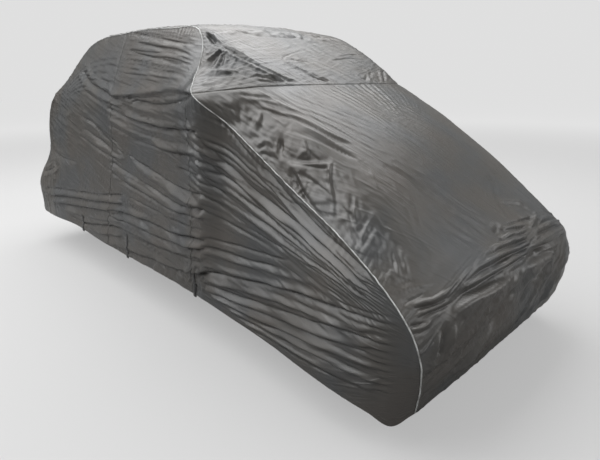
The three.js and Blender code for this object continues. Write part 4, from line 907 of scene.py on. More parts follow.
def side_panel(name, hand, first, last, columns, rows, folds, pull):
    """One width of a side between two rows of SECTIONS. hand is -1 on the right, 1 on the left."""
    inside = (PLACES >= ROW[first] - 0.01) & (PLACES <= ROW[last] + 0.01)
    tops = np.linspace(seam_line(ROW[first])[1], seam_line(ROW[last])[1], columns)
    place = np.interp(tops, seam_line(PLACES)[inside, 1], PLACES[inside])[None, :] + np.zeros((rows, 1))
    up = np.linspace(0, 1, rows)[:, None] + 0 * place
    taut = side_point(place, up)
    y, z = taut[..., 1].copy(), taut[..., 2].copy()
    steps_up = np.linalg.norm(np.diff(taut, axis=0), axis=2)
    from_hem = np.vstack([np.zeros((1, columns)), np.cumsum(steps_up, axis=0)])
    from_top = from_hem[-1:] - from_hem
    steps_back = np.linalg.norm(np.diff(taut, axis=1), axis=2)
    from_first = np.hstack([np.zeros((rows, 1)), np.cumsum(steps_back, axis=1)])
    from_last = from_first[:, -1:] - from_first
    far_off = np.full_like(y, FAR_OFF)
    front_corner, front_cut = (from_first, far_off) if first == "nose" else (far_off, from_first)
    rear_corner, rear_cut = (from_last, far_off) if last == "tail" else (far_off, from_last)
    from_piping = np.minimum(from_top, np.minimum(front_corner, rear_corner))
    from_cut = np.minimum(front_cut, rear_cut)
    main = calm_at_hem(folds(y, z) * smooth(from_piping / PIPING_FLAT), from_hem)
    height = main + puckers(y + 2 * hand, from_piping, 0.034, 0.055, 0.0022, 461 + hand)
    height = height + puckers(z + 2 * hand, from_cut, 0.038, 0.035, 0.0013, 471 + hand)
    height = finish_edges(height, from_cut, from_hem, 1.2 * MM)
    ends = np.minimum(y - CORNERS[0], CORNERS[1] - y)
    for at_y, at_z, half_y, half_z, out in SWELLS:
        swell = out * np.exp(-((y - at_y) / half_y) ** 2 - ((z - at_z) / half_z) ** 2)
        height = height + swell * smooth(np.minimum(from_top, ends) / SWELL_FADE)
    edge = np.minimum(from_piping, from_cut)
    along = np.where(from_piping < from_cut, y, z)
    pull_along, pull_across = pull(y, z)
    grids = [taut, height, main, from_hem, y, z, pull_along, pull_across, edge, along]
    if hand < 0:
        taut[..., 0] *= -1
        grids = [grid[:, ::-1] for grid in grids]
    taut, height, main, from_hem, y, z, pull_along, pull_across, edge, along = grids
    points = taut + outward(taut) * height[..., None]
    points[..., 2] -= LEAN * main * smooth(from_hem / LEAN_FROM)
    return sheet_of_cloth(name, points, (y, z), (pull_along, pull_across), edge, along, from_hem)


# Folds of the right side in metres, their lines as (y, z): troughs are negative. First those of
# the front width.
FRONT_SIDE_CREASES = [
    # close under the piping, from the shoulder down to the nose
    ("sharp", 0.014, -0.014, (0.84, 1.33), (0.76, 1.265), (0.67, 1.195), (0.59, 1.14), (0.50, 1.095)),
    ("sharp", 0.015, -0.024, (0.52, 1.11), (0.39, 1.02), (0.25, 0.938), (0.11, 0.872), (-0.02, 0.825),
     (-0.12, 0.785), (-0.20, 0.745)),
    ("soft", 0.012, 0.015, (0.56, 1.10), (0.39, 0.985), (0.25, 0.908), (0.11, 0.848), (-0.02, 0.80),
     (-0.20, 0.72)),
    ("sharp", 0.017, -0.022, (0.94, 1.238), (0.88, 1.175), (0.80, 1.11), (0.65, 1.03), (0.50, 0.955),
     (0.37, 0.908), (0.16, 0.838), (-0.03, 0.775), (-0.20, 0.70)),
    ("soft", 0.013, 0.013, (0.93, 1.20), (0.80, 1.082), (0.65, 1.00), (0.50, 0.93), (0.37, 0.885),
     (0.16, 0.815), (-0.03, 0.758), (-0.20, 0.685)),
    ("sharp", 0.017, -0.019, (1.0, 1.18), (0.91, 1.113), (0.81, 1.036), (0.65, 0.97), (0.51, 0.903),
     (0.37, 0.858), (0.22, 0.812), (0.09, 0.777), (-0.04, 0.737), (-0.20, 0.672)),
    ("soft", 0.013, 0.011, (1.0, 1.13), (0.81, 0.99), (0.65, 0.93), (0.51, 0.87), (0.37, 0.827),
     (0.22, 0.787), (0.05, 0.75), (-0.20, 0.66)),
    ("sharp", 0.017, -0.016, (1.0, 1.045), (0.91, 1.0), (0.81, 0.94), (0.65, 0.885), (0.51, 0.835),
     (0.36, 0.795), (0.21, 0.76), (0.07, 0.735), (-0.12, 0.67)),
    ("soft", 0.013, 0.009, (1.0, 0.995), (0.81, 0.905), (0.62, 0.85), (0.40, 0.78), (0.10, 0.715)),
    ("sharp", 0.017, -0.012, (1.02, 0.943), (0.90, 0.895), (0.77, 0.844), (0.61, 0.798), (0.46, 0.753),
     (0.31, 0.724)),
    ("sharp", 0.017, -0.010, (1.02, 0.845), (0.88, 0.806), (0.73, 0.774), (0.57, 0.746), (0.43, 0.72)),
    # forward from the upright seam and the strap, rising to the bulge
    ("sharp", 0.018, -0.010, (1.0, 0.665), (0.82, 0.66), (0.61, 0.67), (0.42, 0.676), (0.27, 0.689)),
    ("sharp", 0.018, -0.013, (1.0, 0.61), (0.82, 0.608), (0.57, 0.614), (0.34, 0.632)),
    ("soft", 0.014, 0.009, (1.0, 0.58), (0.70, 0.585), (0.40, 0.61), (0.10, 0.635)),
    ("sharp", 0.019, -0.025, (1.0, 0.452), (0.87, 0.46), (0.65, 0.486), (0.44, 0.514), (0.25, 0.545),
     (0.05, 0.562), (-0.25, 0.585)),
    ("soft", 0.014, 0.013, (1.0, 0.50), (0.65, 0.525), (0.44, 0.548), (0.17, 0.585), (-0.05, 0.60)),
    ("soft", 0.014, 0.015, (1.0, 0.415), (0.65, 0.447), (0.44, 0.475), (0.20, 0.50), (-0.02, 0.52),
     (-0.25, 0.55)),
    ("sharp", 0.017, -0.022, (1.0, 0.365), (0.50, 0.405), (0.25, 0.435), (0.0, 0.475), (-0.25, 0.515)),
    ("soft", 0.013, 0.014, (1.0, 0.345), (0.50, 0.385), (0.25, 0.41), (0.0, 0.445), (-0.25, 0.483)),
    ("sharp", 0.015, -0.019, (0.98, 0.33), (0.48, 0.36), (0.25, 0.385), (0.0, 0.415), (-0.25, 0.45)),
    ("soft", 0.012, 0.014, (0.92, 0.315), (0.46, 0.335), (0.25, 0.36), (0.0, 0.388), (-0.28, 0.41)),
    ("sharp", 0.015, -0.018, (0.85, 0.30), (0.45, 0.305), (0.25, 0.335), (0.0, 0.362), (-0.30, 0.375)),
    ("soft", 0.012, 0.013, (0.76, 0.285), (0.35, 0.308), (0.0, 0.335), (-0.30, 0.352)),
    ("sharp", 0.014, -0.016, (0.68, 0.27), (0.25, 0.293), (0.0, 0.312), (-0.30, 0.33)),
    ("soft", 0.011, 0.012, (0.60, 0.26), (0.25, 0.272), (-0.28, 0.30)),
    ("sharp", 0.014, -0.013, (0.52, 0.245), (0.12, 0.252), (-0.25, 0.27)),
]
FRONT_FAN = [(-0.30, 0.72, 0.58), (-0.20, 0.745, 0.615), (0.0, 0.83, 0.67), (0.25, 0.935, 0.70),
             (0.5, 1.08, 0.735), (0.8, 1.24, 0.79), (1.0, 1.33, 0.84), (1.1, 1.38, 0.86)]
FRONT_LOW_FAN = [(-0.35, 0.60, 0.22), (0.0, 0.585, 0.23), (0.5, 0.52, 0.24), (1.0, 0.46, 0.27)]
BULGE_FOLDS = [(-0.42, 0.66, 0.26), (-0.20, 0.645, 0.26), (0.10, 0.66, 0.25)]
PULL_FROM = (-0.85, 0.447)      # the point before the nose from which the front folds fan out


def front_side_pull(y, z):
    """Distance from that point, and across the fan."""
    ahead, above = y - PULL_FROM[0], z - PULL_FROM[1]
    return np.hypot(above, ahead), 1.1 * np.arctan2(above, ahead)


def front_side_folds(y, z):
    height = sum(crease(y, z, *row) for row in FRONT_SIDE_CREASES)
    height = height + fold_family(y, z, FRONT_FAN, 12, 0.0065, 101, (-0.34, -0.16, 1.0, 1.15))
    height = height + fold_family(y, z, FRONT_LOW_FAN, 9, 0.005, 105, (-0.38, -0.25, 0.95, 1.1))
    height = height + fold_family(y, z, BULGE_FOLDS, 13, 0.006, 107, (-0.36, -0.27, -0.14, 0.06))
    fine = 0.0042 * wrinkles(*front_side_pull(y, z), 0, 0.36, 0.013, 109)
    return height + fine * smooth((y + 0.35) / 0.3) * smooth((1.08 - y) / 0.14)


MIDDLE_SIDE_CREASES = [
    ("soft", 0.026, 0.020, (0.92, 1.471), (1.06, 1.475), (1.22, 1.48), (1.37, 1.477), (1.6, 1.46),
     (1.88, 1.45), (2.16, 1.445), (2.32, 1.442)),
    ("sharp", 0.028, -0.030, (0.92, 1.447), (1.04, 1.42), (1.15, 1.395), (1.3, 1.38), (1.47, 1.37),
     (1.72, 1.38), (1.9, 1.385)),
    ("sharp", 0.020, -0.011, (0.92, 1.451), (1.1, 1.44), (1.35, 1.425), (1.65, 1.415), (2, 1.41)),
    ("sharp", 0.018, -0.024, (0.92, 1.254), (1.03, 1.25), (1.49, 1.235), (1.74, 1.25), (1.96, 1.27),
     (2.18, 1.31), (2.32, 1.335)),
    ("soft", 0.018, 0.010, (0.92, 1.289), (1.03, 1.285), (1.49, 1.27), (1.74, 1.287), (2, 1.31)),
    ("soft", 0.022, 0.014, (0.92, 1.156), (1.08, 1.15), (1.36, 1.14), (1.6, 1.165), (1.87, 1.195),
     (2.16, 1.245), (2.32, 1.273)),
    ("sharp", 0.018, -0.013, (0.92, 1.115), (1.06, 1.11), (1.36, 1.1), (1.6, 1.12), (1.9, 1.15),
     (2.16, 1.19), (2.32, 1.215)),
    ("sharp", 0.012, -0.008, (1.65, 1.09), (1.5, 1.08), (1.4, 1.08)),
    ("sharp", 0.016, -0.011, (0.92, 1.015), (1.02, 1.02), (1.12, 1.025), (1.26, 1.03)),
    ("sharp", 0.017, -0.020, (0.92, 0.905), (1.03, 0.905), (1.24, 0.905), (1.43, 0.93), (1.62, 0.96),
     (1.83, 0.99), (2, 1.03)),
    ("soft", 0.021, 0.015, (0.92, 0.86), (1.05, 0.862), (1.24, 0.865), (1.43, 0.89), (1.69, 0.93),
     (1.9, 0.965)),
    ("sharp", 0.017, -0.022, (0.92, 0.825), (1.03, 0.815), (1.23, 0.797), (1.43, 0.815), (1.61, 0.845),
     (1.82, 0.87), (2.04, 0.9), (2.2, 0.925), (2.32, 0.944)),
    ("soft", 0.017, 0.009, (0.92, 0.789), (1.03, 0.785), (1.36, 0.772), (1.6, 0.805), (1.9, 0.835),
     (2.16, 0.875), (2.32, 0.9)),
    ("sharp", 0.016, -0.016, (0.92, 0.775), (1.03, 0.765), (1.2, 0.75), (1.36, 0.745), (1.55, 0.763),
     (1.74, 0.785), (1.97, 0.805), (2.16, 0.84), (2.32, 0.869)),
    ("sharp", 0.016, -0.010, (0.92, 0.704), (1.03, 0.7), (1.3, 0.69), (1.6, 0.705), (2, 0.73)),
    ("sharp", 0.018, -0.022, (0.92, 0.644), (1.03, 0.63), (1.29, 0.598), (1.54, 0.6), (1.82, 0.6),
     (2.14, 0.585), (2.32, 0.577)),
    ("soft", 0.018, 0.012, (0.92, 0.678), (1.03, 0.665), (1.29, 0.635), (1.54, 0.635), (1.82, 0.635),
     (2.14, 0.625), (2.32, 0.619)),
    ("soft", 0.018, 0.011, (0.92, 0.614), (1.03, 0.6), (1.29, 0.568), (1.54, 0.56), (1.82, 0.565),
     (2.12, 0.555), (2.32, 0.548)),
    ("sharp", 0.017, -0.021, (0.92, 0.598), (1.03, 0.58), (1.28, 0.54), (1.54, 0.525), (1.82, 0.53),
     (2.1, 0.53), (2.32, 0.53)),
    ("soft", 0.018, 0.011, (0.92, 0.554), (1.03, 0.54), (1.3, 0.505), (1.6, 0.49), (2.1, 0.49),
     (2.32, 0.49)),
    ("sharp", 0.016, -0.010, (0.92, 0.512), (1.03, 0.5), (1.3, 0.47), (1.6, 0.455), (2, 0.44)),
    ("lip", 0.020, 0.016, (0.92, 0.453), (1.03, 0.43), (1.25, 0.385), (1.5, 0.365), (1.78, 0.342),
     (2.05, 0.32), (2.32, 0.298)),
    ("sharp", 0.013, -0.012, (0.92, 0.447), (1.03, 0.423), (1.25, 0.376), (1.5, 0.356), (1.78, 0.333)),
    # under the edge of the roof
    ("sharp", 0.022, -0.013, (2.14, 1.845), (2.0, 1.82), (1.73, 1.78), (1.48, 1.74), (1.24, 1.71)),
    ("soft", 0.018, 0.006, (2.14, 1.805), (1.85, 1.768), (1.55, 1.725), (1.24, 1.69)),
    ("sharp", 0.016, -0.008, (2.0, 1.77), (1.85, 1.75), (1.59, 1.705), (1.42, 1.682), (1.24, 1.66)),
    ("soft", 0.016, 0.005, (2.10, 1.755), (1.80, 1.705), (1.50, 1.665), (1.22, 1.63)),
    ("sharp", 0.016, -0.010, (2.12, 1.725), (1.84, 1.68), (1.57, 1.64), (1.34, 1.61), (1.20, 1.60)),
    ("soft", 0.016, 0.004, (2.05, 1.68), (1.75, 1.64), (1.45, 1.605), (1.20, 1.575)),
    ("sharp", 0.016, -0.007, (2.0, 1.645), (1.75, 1.60), (1.48, 1.57), (1.20, 1.55)),
    ("soft", 0.016, 0.004, (1.9, 1.58), (1.60, 1.55), (1.20, 1.525)),
]
MIDDLE_TOP_FAN = [(1.15, 1.66, 1.49), (1.5, 1.77, 1.50), (1.9, 1.82, 1.52), (2.25, 1.84, 1.55)]
MIDDLE_LOW_FAN = [(1.0, 1.35, 0.48), (1.5, 1.34, 0.46), (2.25, 1.38, 0.42)]
MIDDLE_BUNCHES = [
    # beside the front strap
    ((1.07, 0.40), (0.10, 0.13), 0, 0.012, 0.060, (1, 1), 135),
]


def middle_side_folds(y, z):
    height = sum(crease(y, z, *row) for row in MIDDLE_SIDE_CREASES) + bunched(y, z, MIDDLE_BUNCHES)
    height = height + fold_family(y, z, MIDDLE_TOP_FAN, 9, 0.0045, 121, (1.0, 1.2, 1.9, 2.25))
    height = height + fold_family(y, z, MIDDLE_LOW_FAN, 9, 0.002, 125, (0.98, 1.1, 1.9, 2.2))
    middle = smooth((y - 0.92) / 0.14) * smooth((2.27 - y) / 0.14)
    height = height + 0.0042 * middle * wrinkles(y, z, 7, 0.34, 0.016, 129)
    low = smooth((0.42 - z - 0.05 * (y - 1.02)) / 0.05)
    return height + 0.008 * low * middle * crumple(y * 0.8, z * 1.3, 0.060, 132)


def middle_side_pull(y, z):
    return turned(y, z, 7)


REAR_SIDE_CREASES = [
    ("soft", 0.024, 0.012, (2.92, 1.68), (2.69, 1.57), (2.49, 1.51), (2.24, 1.46), (2.06, 1.424)),
    ("sharp", 0.024, -0.014, (2.98, 1.64), (2.74, 1.53), (2.5, 1.465), (2.24, 1.42), (2.06, 1.389)),
    ("soft", 0.024, 0.010, (3.04, 1.6), (2.79, 1.5), (2.53, 1.43), (2.26, 1.385), (2.06, 1.352)),
    ("sharp", 0.022, -0.011, (2.9, 1.5), (2.6, 1.41), (2.24, 1.36), (2.06, 1.335)),
    ("sharp", 0.018, -0.016, (2.92, 1.265), (2.56, 1.2), (2.31, 1.13), (2.22, 1.1), (2.06, 1.047)),
    ("soft", 0.018, 0.010, (2.8, 1.235), (2.5, 1.175), (2.24, 1.095), (2.06, 1.04)),
    ("sharp", 0.018, -0.019, (2.72, 1.23), (2.44, 1.15), (2.22, 1.07), (2.06, 1.012)),
    ("sharp", 0.018, -0.018, (2.8, 1.165), (2.53, 1.1), (2.28, 1.04)),
    ("soft", 0.018, 0.010, (2.85, 1.13), (2.55, 1.06), (2.26, 1.01), (2.06, 0.976)),
    ("sharp", 0.018, -0.013, (2.9, 1.1), (2.6, 1.03), (2.24, 0.97), (2.06, 0.94)),
    ("sharp", 0.018, -0.013, (2.6, 0.94), (2.4, 0.89), (2.22, 0.87), (2.06, 0.852)),
    ("sharp", 0.020, -0.018, (3.67, 0.545), (3.3, 0.59), (2.9, 0.62), (2.5, 0.66), (2.2, 0.7),
     (2.06, 0.719)),
    ("soft", 0.020, 0.011, (3.67, 0.515), (3.3, 0.56), (2.9, 0.595), (2.5, 0.63), (2.2, 0.665),
     (2.06, 0.681)),
    ("sharp", 0.019, -0.021, (3.57, 0.485), (3.11, 0.54), (2.71, 0.578), (2.4, 0.61), (2.2, 0.635),
     (2.06, 0.653)),
    ("soft", 0.019, 0.011, (3.5, 0.465), (3, 0.515), (2.65, 0.55), (2.2, 0.598), (2.06, 0.613)),
    ("sharp", 0.019, -0.021, (3.33, 0.455), (2.92, 0.485), (2.61, 0.518), (2.2, 0.56), (2.06, 0.574)),
    ("soft", 0.019, 0.012, (3.2, 0.43), (2.85, 0.445), (2.5, 0.48), (2.2, 0.52), (2.06, 0.539)),
    ("sharp", 0.019, -0.024, (3.1, 0.385), (2.8, 0.368), (2.51, 0.405), (2.2, 0.46), (2.06, 0.485)),
    ("soft", 0.018, 0.010, (2.75, 0.335), (2.5, 0.36), (2.2, 0.41), (2.06, 0.433)),
    ("sharp", 0.034, -0.020, (3.6, 0.9), (3.3, 0.87), (2.95, 0.87)),
    ("soft", 0.018, 0.014, (3.78, 0.655), (3.6, 0.69), (3.46, 0.73), (3.35, 0.79)),
    ("sharp", 0.016, -0.016, (3.8, 0.69), (3.62, 0.725), (3.5, 0.765), (3.42, 0.82)),
    ("soft", 0.016, 0.012, (3.8, 0.73), (3.66, 0.765), (3.56, 0.81)),
]
REAR_FAN = [(2.15, 1.74, 1.40), (2.6, 1.72, 1.44), (3.0, 1.62, 1.42), (3.4, 1.48, 1.30)]
REAR_SIDE_BUNCHES = [
    # over the swell at the rear corner
    ((3.62, 0.72), (0.26, 0.14), 8, 0.007, 0.10, (1, 1), 148),
]


def rear_side_folds(y, z):
    height = sum(crease(y, z, *row) for row in REAR_SIDE_CREASES) + bunched(y, z, REAR_SIDE_BUNCHES)
    height = height + fold_family(y, z, REAR_FAN, 6, 0.005, 141, (2.16, 2.3, 2.9, 3.35))
    rear_part = smooth((y - 2.13) / 0.14)
    height = height + 0.0042 * rear_part * wrinkles(y, z, 14, 0.32, 0.020, 145)
    tail = smooth((y - 3.2) / 0.3)
    return height + 0.006 * tail * wrinkles(y, z, 70, 0.30, 0.045, 151)


def rear_side_pull(y, z):
    return turned(y, z, 15)


def side_folds(y, z):
    """The folds of all three widths, which run on across the upright seams."""
    return front_side_folds(y, z) + 1.15 * middle_side_folds(y, z) + 1.15 * rear_side_folds(y, z)


SIDE_WIDTHS = {
    # its first and last row of SECTIONS, its pull, and the size and area that it is cut to
    "front": ("nose", "shoulder point", front_side_pull, (1.60, 1.45), 1.60),
    "middle": ("shoulder point", "roof middle", middle_side_pull, (1.35, 1.90), 2.35),
    "rear": ("roof middle", "tail", rear_side_pull, (1.80, 1.65), 2.40),
}


def hang_side(side_name, hand, folds, grids):
    """The three widths of one side; grids holds the columns and rows of each."""
    cloths = []
    for (width, cut), (columns, rows) in zip(SIDE_WIDTHS.items(), grids):
        first, last, pull, flat, area = cut
        cloth = side_panel(f"{side_name}_{width}_cloth", hand, first, last, columns, rows, folds, pull)
        fit_piece(cloth, f"{side_name}_{width}_side")
        cloths.append(cloth)
    return cloths


right_cloths = hang_side("right", -1, side_folds, ((225, 200), (155, 245), (150, 170)))

# Left-hand side: the same three widths, cut as a mirror of the right. It hangs in folds of its own,
# thrown by the same pull from shoulder to nose but set further back and a little lower.
LEFT_BACK = 0.07
LEFT_DOWN = 0.02
LEFT_SHARE = 0.85        # of the height of the folds on the right


def left_side_folds(y, z):
    wander_y = 0.05 * noise(y * 1.3, z * 1.7, 201)
    wander_z = 0.035 * noise(y * 1.1 + 9, z * 1.4, 202)
    loose = 0.004 * wrinkles(y, z, 12, 0.36, 0.045, 203)
    return LEFT_SHARE * side_folds(y - LEFT_BACK + wander_y, z + LEFT_DOWN + wander_z) + loose


left_cloths = hang_side("left", 1, left_side_folds, ((105, 100), (80, 125), (90, 105)))

# Piping. A light grey reflective tape folded round a 6 mm cord and caught in the seam between the
# centre strip and each side, from the front hem over the top and down to the rear hem.
PIPING_RADIUS = 3 * MM
PIPING_SIDES = 8
PIPING_RINGS = 900
PIPING_LEAN = 0.35       # upward share of the direction in which its first edge points
PIPING_SHAKE = 1.2 * MM
REFLECTIVE_GREY = (0.56, 0.57, 0.56, 1)
SOILED_GREY = (0.22, 0.22, 0.21, 1)


def piping_material():
    material, tree, shader = new_material("reflective piping")
    place = add_node(tree, "TexCoord", {}).outputs["Object"]
    soil = add_node(tree, "TexNoise", {"Vector": place, "Scale": 24, "Detail": 4}).outputs["Fac"]
    beads = add_node(tree, "TexNoise", {"Vector": place, "Scale": 900}).outputs["Fac"]
    set_inputs(tree, shader, {
        "Base Color": colour_ramp(tree, soil, (0.3, SOILED_GREY), (0.6, REFLECTIVE_GREY)),
        "Roughness": 0.42,
        "Specular IOR Level": 0.6,
        "Normal": bump(tree, beads, 0.3 * MM, 0.3),
    })
    return material


reflective_piping = piping_material()


def piping(name, hand):
    """A round tube swept along the seam: a cylinder cut into rings, each moved to its place."""
    lengths = np.linspace(0, 1, PIPING_RINGS)
    passed = length_along(seam_line(PLACES))
    line = seam_line(np.interp(lengths * passed[-1], passed, PLACES))
    line[:, 0] *= hand
    shake = np.stack([noise(lengths * 260, lengths * 0, 301 + axis) for axis in range(3)], -1)
    line = line + PIPING_SHAKE * shake
    along = np.gradient(line, axis=0)
    along /= np.linalg.norm(along, axis=1, keepdims=True)
    first_edge = np.array((hand, 0, PIPING_LEAN))
    out = first_edge - along * (along @ first_edge)[:, None]
    out /= np.linalg.norm(out, axis=1, keepdims=True)
    side = np.cross(along, out)
    angle = 2 * np.pi * np.arange(PIPING_SIDES)[None, :, None] / PIPING_SIDES
    rings = line[:, None] + PIPING_RADIUS * (np.cos(angle) * out[:, None]
                                             + np.sin(angle) * side[:, None])
    bm = bmesh.new()
    bmesh.ops.create_cone(bm, cap_ends=True, segments=PIPING_SIDES, radius1=1, radius2=1, depth=2)
    tall = [edge for edge in bm.edges if abs(edge.verts[0].co.z - edge.verts[1].co.z) > 1]
    bmesh.ops.subdivide_edges(bm, edges=tall, cuts=PIPING_RINGS - 2)
    for vert in bm.verts:
        ring = round((vert.co.z + 1) / 2 * (PIPING_RINGS - 1))
        turn = round(np.arctan2(vert.co.y, vert.co.x) / (2 * np.pi) * PIPING_SIDES) % PIPING_SIDES
        vert.co = Vector(rings[ring, turn] - ROOF_REST)
    bmesh.ops.recalc_face_normals(bm, faces=bm.faces)
    return new_piece(name, bm, reflective_piping)


for side_name, hand in (("right", -1), ("left", 1)):
    cord = piping(f"{side_name}_piping_cord", hand)
    fit_piece(cord, f"{side_name}_piping")

# Straps. Six black webbing tie-downs, 25 mm wide, sewn to the outside of the hem, looped under it
# and tucked up inside. Each takes the place of its plain node and lies on the folds of the cloth.
WEBBING_BLACK = (0.010, 0.010, 0.010, 1)
WEBBING_THREAD = (0.035, 0.034, 0.033, 1)
STRAP_WIDTH = 25 * MM
STRAP_THICKNESS = 1.5 * MM
STRAP_GAP = 2.0 * MM             # from the cloth's face to the middle of the webbing
LOOP_DROP = 18 * MM
LOOP_ROUND = 0.75                # share of the drop that is round
TUCK = 26 * MM
HEM_EDGE = 4 * MM                # below this the webbing no longer follows the cloth
SLANT = 4 * MM
LOOK_ROUND = 0.03                # how far before and behind a place the cloth's face is looked for
STRAPS = {
    # y, and how far its sewn end stands above the hem
    "front": (1.090, 0.175),
    "middle": (2.000, 0.165),
    "rear": (2.830, 0.130),
}
SEWN_LINES_AT = 9.5 * MM         # from the middle of the strap
SEWN_BAR_AT = 6 * MM             # from its sewn end
SEWN_HALF_WIDTH = 0.7 * MM
SEWN_TURNS = 1500.0              # of the stitches' wave, in radians to a metre
SEWN_SHARE = -0.2


def webbing_material():
    """Ribbed webbing with a line of stitches near each edge and a bar of them by the sewn end."""
    material, tree, shader = new_material("black webbing")
    plan = add_node(tree, "UVMap", {}, uv_map="webbing").outputs[0]
    ribs = add_node(tree, "TexWave", {"Vector": plan, "Scale": 120, "Distortion": 1.2},
                    bands_direction="Y").outputs["Fac"]
    split = add_node(tree, "SeparateXYZ", {0: plan}).outputs

    def sewn(from_middle, line_at, along):
        off_line = math(tree, "ABSOLUTE", math(tree, "SUBTRACT", from_middle, line_at))
        wave = math(tree, "SINE", math(tree, "MULTIPLY", along, SEWN_TURNS))
        return math(tree, "MULTIPLY", math(tree, "LESS_THAN", off_line, SEWN_HALF_WIDTH),
                    math(tree, "GREATER_THAN", wave, SEWN_SHARE))

    lines = sewn(math(tree, "ABSOLUTE", split["X"]), SEWN_LINES_AT, split["Y"])
    bar = sewn(split["Y"], SEWN_BAR_AT, split["X"])
    stitches = math(tree, "MAXIMUM", lines, bar)
    set_inputs(tree, shader, {
        "Base Color": thread_over(tree, stitches, WEBBING_THREAD, WEBBING_BLACK),
        "Roughness": 0.8,
        "Sheen Weight": 0.3,
        "Normal": bump(tree, math(tree, "ADD", ribs, stitches), 0.6 * MM, 0.6),
    })
    return material


black_webbing = webbing_material()


def outer_face(cloths):
    """How far out the cloth's face stands, sideways, for places (y, z) on a side."""
    points = np.array([vert.co[:] for cloth in cloths for vert in cloth.data.vertices])
    points = points[np.argsort(points[:, 1])] + ROOF_REST

    def face(y, z):
        low, high = np.searchsorted(points[:, 1], (y - LOOK_ROUND, y + LOOK_ROUND))
        near = points[low:high]
        far = np.hypot(near[:, 1] - y, near[:, 2] - z)
        first = np.argsort(far)[:5]
        weight = 1 / (far[first] + MM) ** 2
        return float(np.sum(np.abs(near[first, 0]) * weight) / weight.sum())
    return face


def strap(name, hand, at_y, above, cloths):
    """A band along a line down the cloth, round under the hem and up inside."""
    face = outer_face(cloths)
    hem_z = float(np.interp(at_y, hem_curve[:, 1], hem_curve[:, 2]))
    edge_z = hem_z + HEM_EDGE
    loop_z = hem_z - (1 - LOOP_ROUND) * LOOP_DROP
    offsets = np.linspace(-0.5, 0.5, 7) * STRAP_WIDTH
    down = np.linspace(hem_z + above, loop_z, 26)
    turns = np.linspace(0, np.pi, 9)[1:-1]
    inside = np.linspace(loop_z, hem_z + TUCK, 6)
    count = len(down) + len(turns) + len(inside)
    rows = []
    for row in range(count):
        line = []
        for offset in offsets:
            y = at_y + offset + SLANT * np.sin(row * 0.25 + at_y)
            if row < len(down):
                z = down[row]
                x = face(y, max(z, edge_z)) + STRAP_GAP
            elif row < len(down) + len(turns):
                angle = turns[row - len(down)]
                x = face(y, edge_z) + STRAP_GAP - 0.5 * (CLOTH + 2 * STRAP_GAP) * (1 - np.cos(angle))
                z = loop_z - LOOP_ROUND * LOOP_DROP * np.sin(angle)
            else:
                z = inside[row - len(down) - len(turns)]
                x = face(y, max(z, edge_z)) - CLOTH - STRAP_GAP
            line.append((hand * x, y, z))
        rows.append(line)
    places = np.array(rows)
    passed = length_along(places[:, 3])
    bm = bmesh.new()
    bmesh.ops.create_grid(bm, x_segments=len(offsets) - 1, y_segments=count - 1, size=0.5)
    flat_place = {}
    for vert in bm.verts:
        column = round((vert.co.x + 0.5) * (len(offsets) - 1))
        row = round((vert.co.y + 0.5) * (count - 1))
        vert.co = Vector(places[row, column] - ROOF_REST)
        flat_place[vert] = (offsets[column], passed[row])
    plan = bm.loops.layers.uv.new("webbing")
    for part in bm.faces:
        for loop in part.loops:
            loop[plan].uv = flat_place[loop.vert]
    if hand > 0:
        bmesh.ops.reverse_faces(bm, faces=bm.faces)
    piece = new_piece(name, bm, black_webbing)
    give_thickness(piece, STRAP_THICKNESS, 0)
    return piece


for side_name, hand, cloths in (("right", -1, right_cloths), ("left", 1, left_cloths)):
    for which, (at_y, above) in STRAPS.items():
        webbing = strap(f"{side_name}_{which}_webbing", hand, at_y, above, cloths)
        fit_piece(webbing, f"{side_name}_strap_{which}")

# Floor and light. A pale plain floor and background under a wide ceiling softbox; a low softbox
# behind on the right brings out the folds of that side, and a broad one in front lights the nose.
FLOOR_Z = -ROOF_REST[2]
FLOOR_SHADE = 0.26
FLOOR_GLOW = 0.38
SKY_LIGHT = 0.28
BACKGROUND = 0.74
FAR_FROM, FAR_FULL = 5.0, 18.0
SOFTBOXES = {
    # place, what it points at, width and height, and watts
    "ceiling softbox": ((-1.0, 2.4, 4.8), (-1.0, 2.4, 0), (15, 8.6), 1260),
    "side softbox": ((-9.0, 9.0, 4.6), (-0.5, 0, -1.0), (6, 4), 200),
    "front softbox": ((3.5, -9.5, 4.0), (0, -1.5, -0.8), (12, 6), 430),
}


def floor_material():
    """It sends little light up under the folds, and looks pale where it is seen."""
    material, tree, shader = new_material("pale floor")
    place = add_node(tree, "TexCoord", {}).outputs["Object"]
    far = add_node(tree, "VectorMath", {0: place}, operation="LENGTH").outputs["Value"]
    glow = add_node(tree, "MapRange", {
        "Value": far, "From Min": FAR_FROM, "From Max": FAR_FULL, "To Min": FLOOR_GLOW,
        "To Max": BACKGROUND - FLOOR_SHADE * SKY_LIGHT}, interpolation_type="SMOOTHSTEP")
    seen = add_node(tree, "LightPath", {}).outputs["Is Camera Ray"]
    set_inputs(tree, shader, {
        "Base Color": (FLOOR_SHADE, FLOOR_SHADE, FLOOR_SHADE, 1),
        "Roughness": 0.9,
        "Specular IOR Level": 0,
        "Emission Color": math(tree, "MULTIPLY", glow.outputs[0], seen),
        "Emission Strength": 1,
    })
    return material


bm = bmesh.new()
bmesh.ops.create_grid(bm, x_segments=1, y_segments=1, size=60)
floor = new_piece("floor", bm, floor_material())
floor.data.transform(Matrix.Translation((0, 0, FLOOR_Z)))


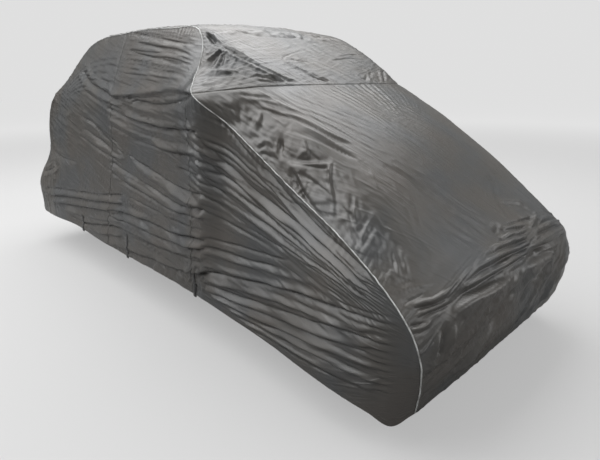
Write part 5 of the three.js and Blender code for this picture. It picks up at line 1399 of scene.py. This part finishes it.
def studio_world():
    """Dim all-round light on the object before a pale background."""
    world = bpy.data.worlds.new("studio")
    world.use_nodes = True
    tree = world.node_tree
    dim, pale = tree.nodes["Background"], tree.nodes.new("ShaderNodeBackground")
    for backdrop, strength in ((dim, SKY_LIGHT), (pale, BACKGROUND)):
        set_inputs(tree, backdrop, {"Color": (1, 1, 1, 1), "Strength": strength})
    seen = add_node(tree, "LightPath", {}).outputs["Is Camera Ray"]
    either = add_node(tree, "MixShader", {0: seen, 1: dim.outputs[0], 2: pale.outputs[0]})
    set_inputs(tree, tree.nodes["World Output"], {"Surface": either.outputs[0]})
    return world


bpy.context.scene.world = studio_world()
for name, (place, aim, size, power) in SOFTBOXES.items():
    light = bpy.data.lights.new(name, "AREA")
    light.shape = "RECTANGLE"
    light.size, light.size_y = size
    light.energy = power
    lamp = bpy.data.objects.new(name, light)
    facing = (Vector(aim) - Vector(place)).to_track_quat("-Z", "Y")
    lamp.matrix_world = Matrix.Translation(Vector(place)) @ facing.to_matrix().to_4x4()
    bpy.context.scene.collection.objects.link(lamp)

# Camera. It stands near the front right-hand corner at eye height, as for the photograph: the
# place in metres from the roof rest, the heading from +Y, the tilt and the small roll in degrees.
CAMERA_PLACE = (-2.249, -3.136, -0.377)
HEADING, TILT, ROLL = np.radians((44.344, 17.33, -0.64))
LENS = 28.16
looking = Vector((np.sin(HEADING) * np.cos(TILT), np.cos(HEADING) * np.cos(TILT), -np.sin(TILT)))
level = Vector((np.cos(HEADING), -np.sin(HEADING), 0))
upright = level.cross(looking)
right = level * np.cos(ROLL) + upright * np.sin(ROLL)
up = upright * np.cos(ROLL) - level * np.sin(ROLL)
camera_data = bpy.data.cameras.new("camera")
camera_data.lens = LENS
camera_data.sensor_width = 36
camera = bpy.data.objects.new("camera", camera_data)
turn = Matrix((right, up, -looking)).transposed().to_4x4()
camera.matrix_world = Matrix.Translation(Vector(CAMERA_PLACE)) @ turn
bpy.context.scene.collection.objects.link(camera)
bpy.context.scene.camera = camera
bpy.context.scene.view_settings.view_transform = "Standard"
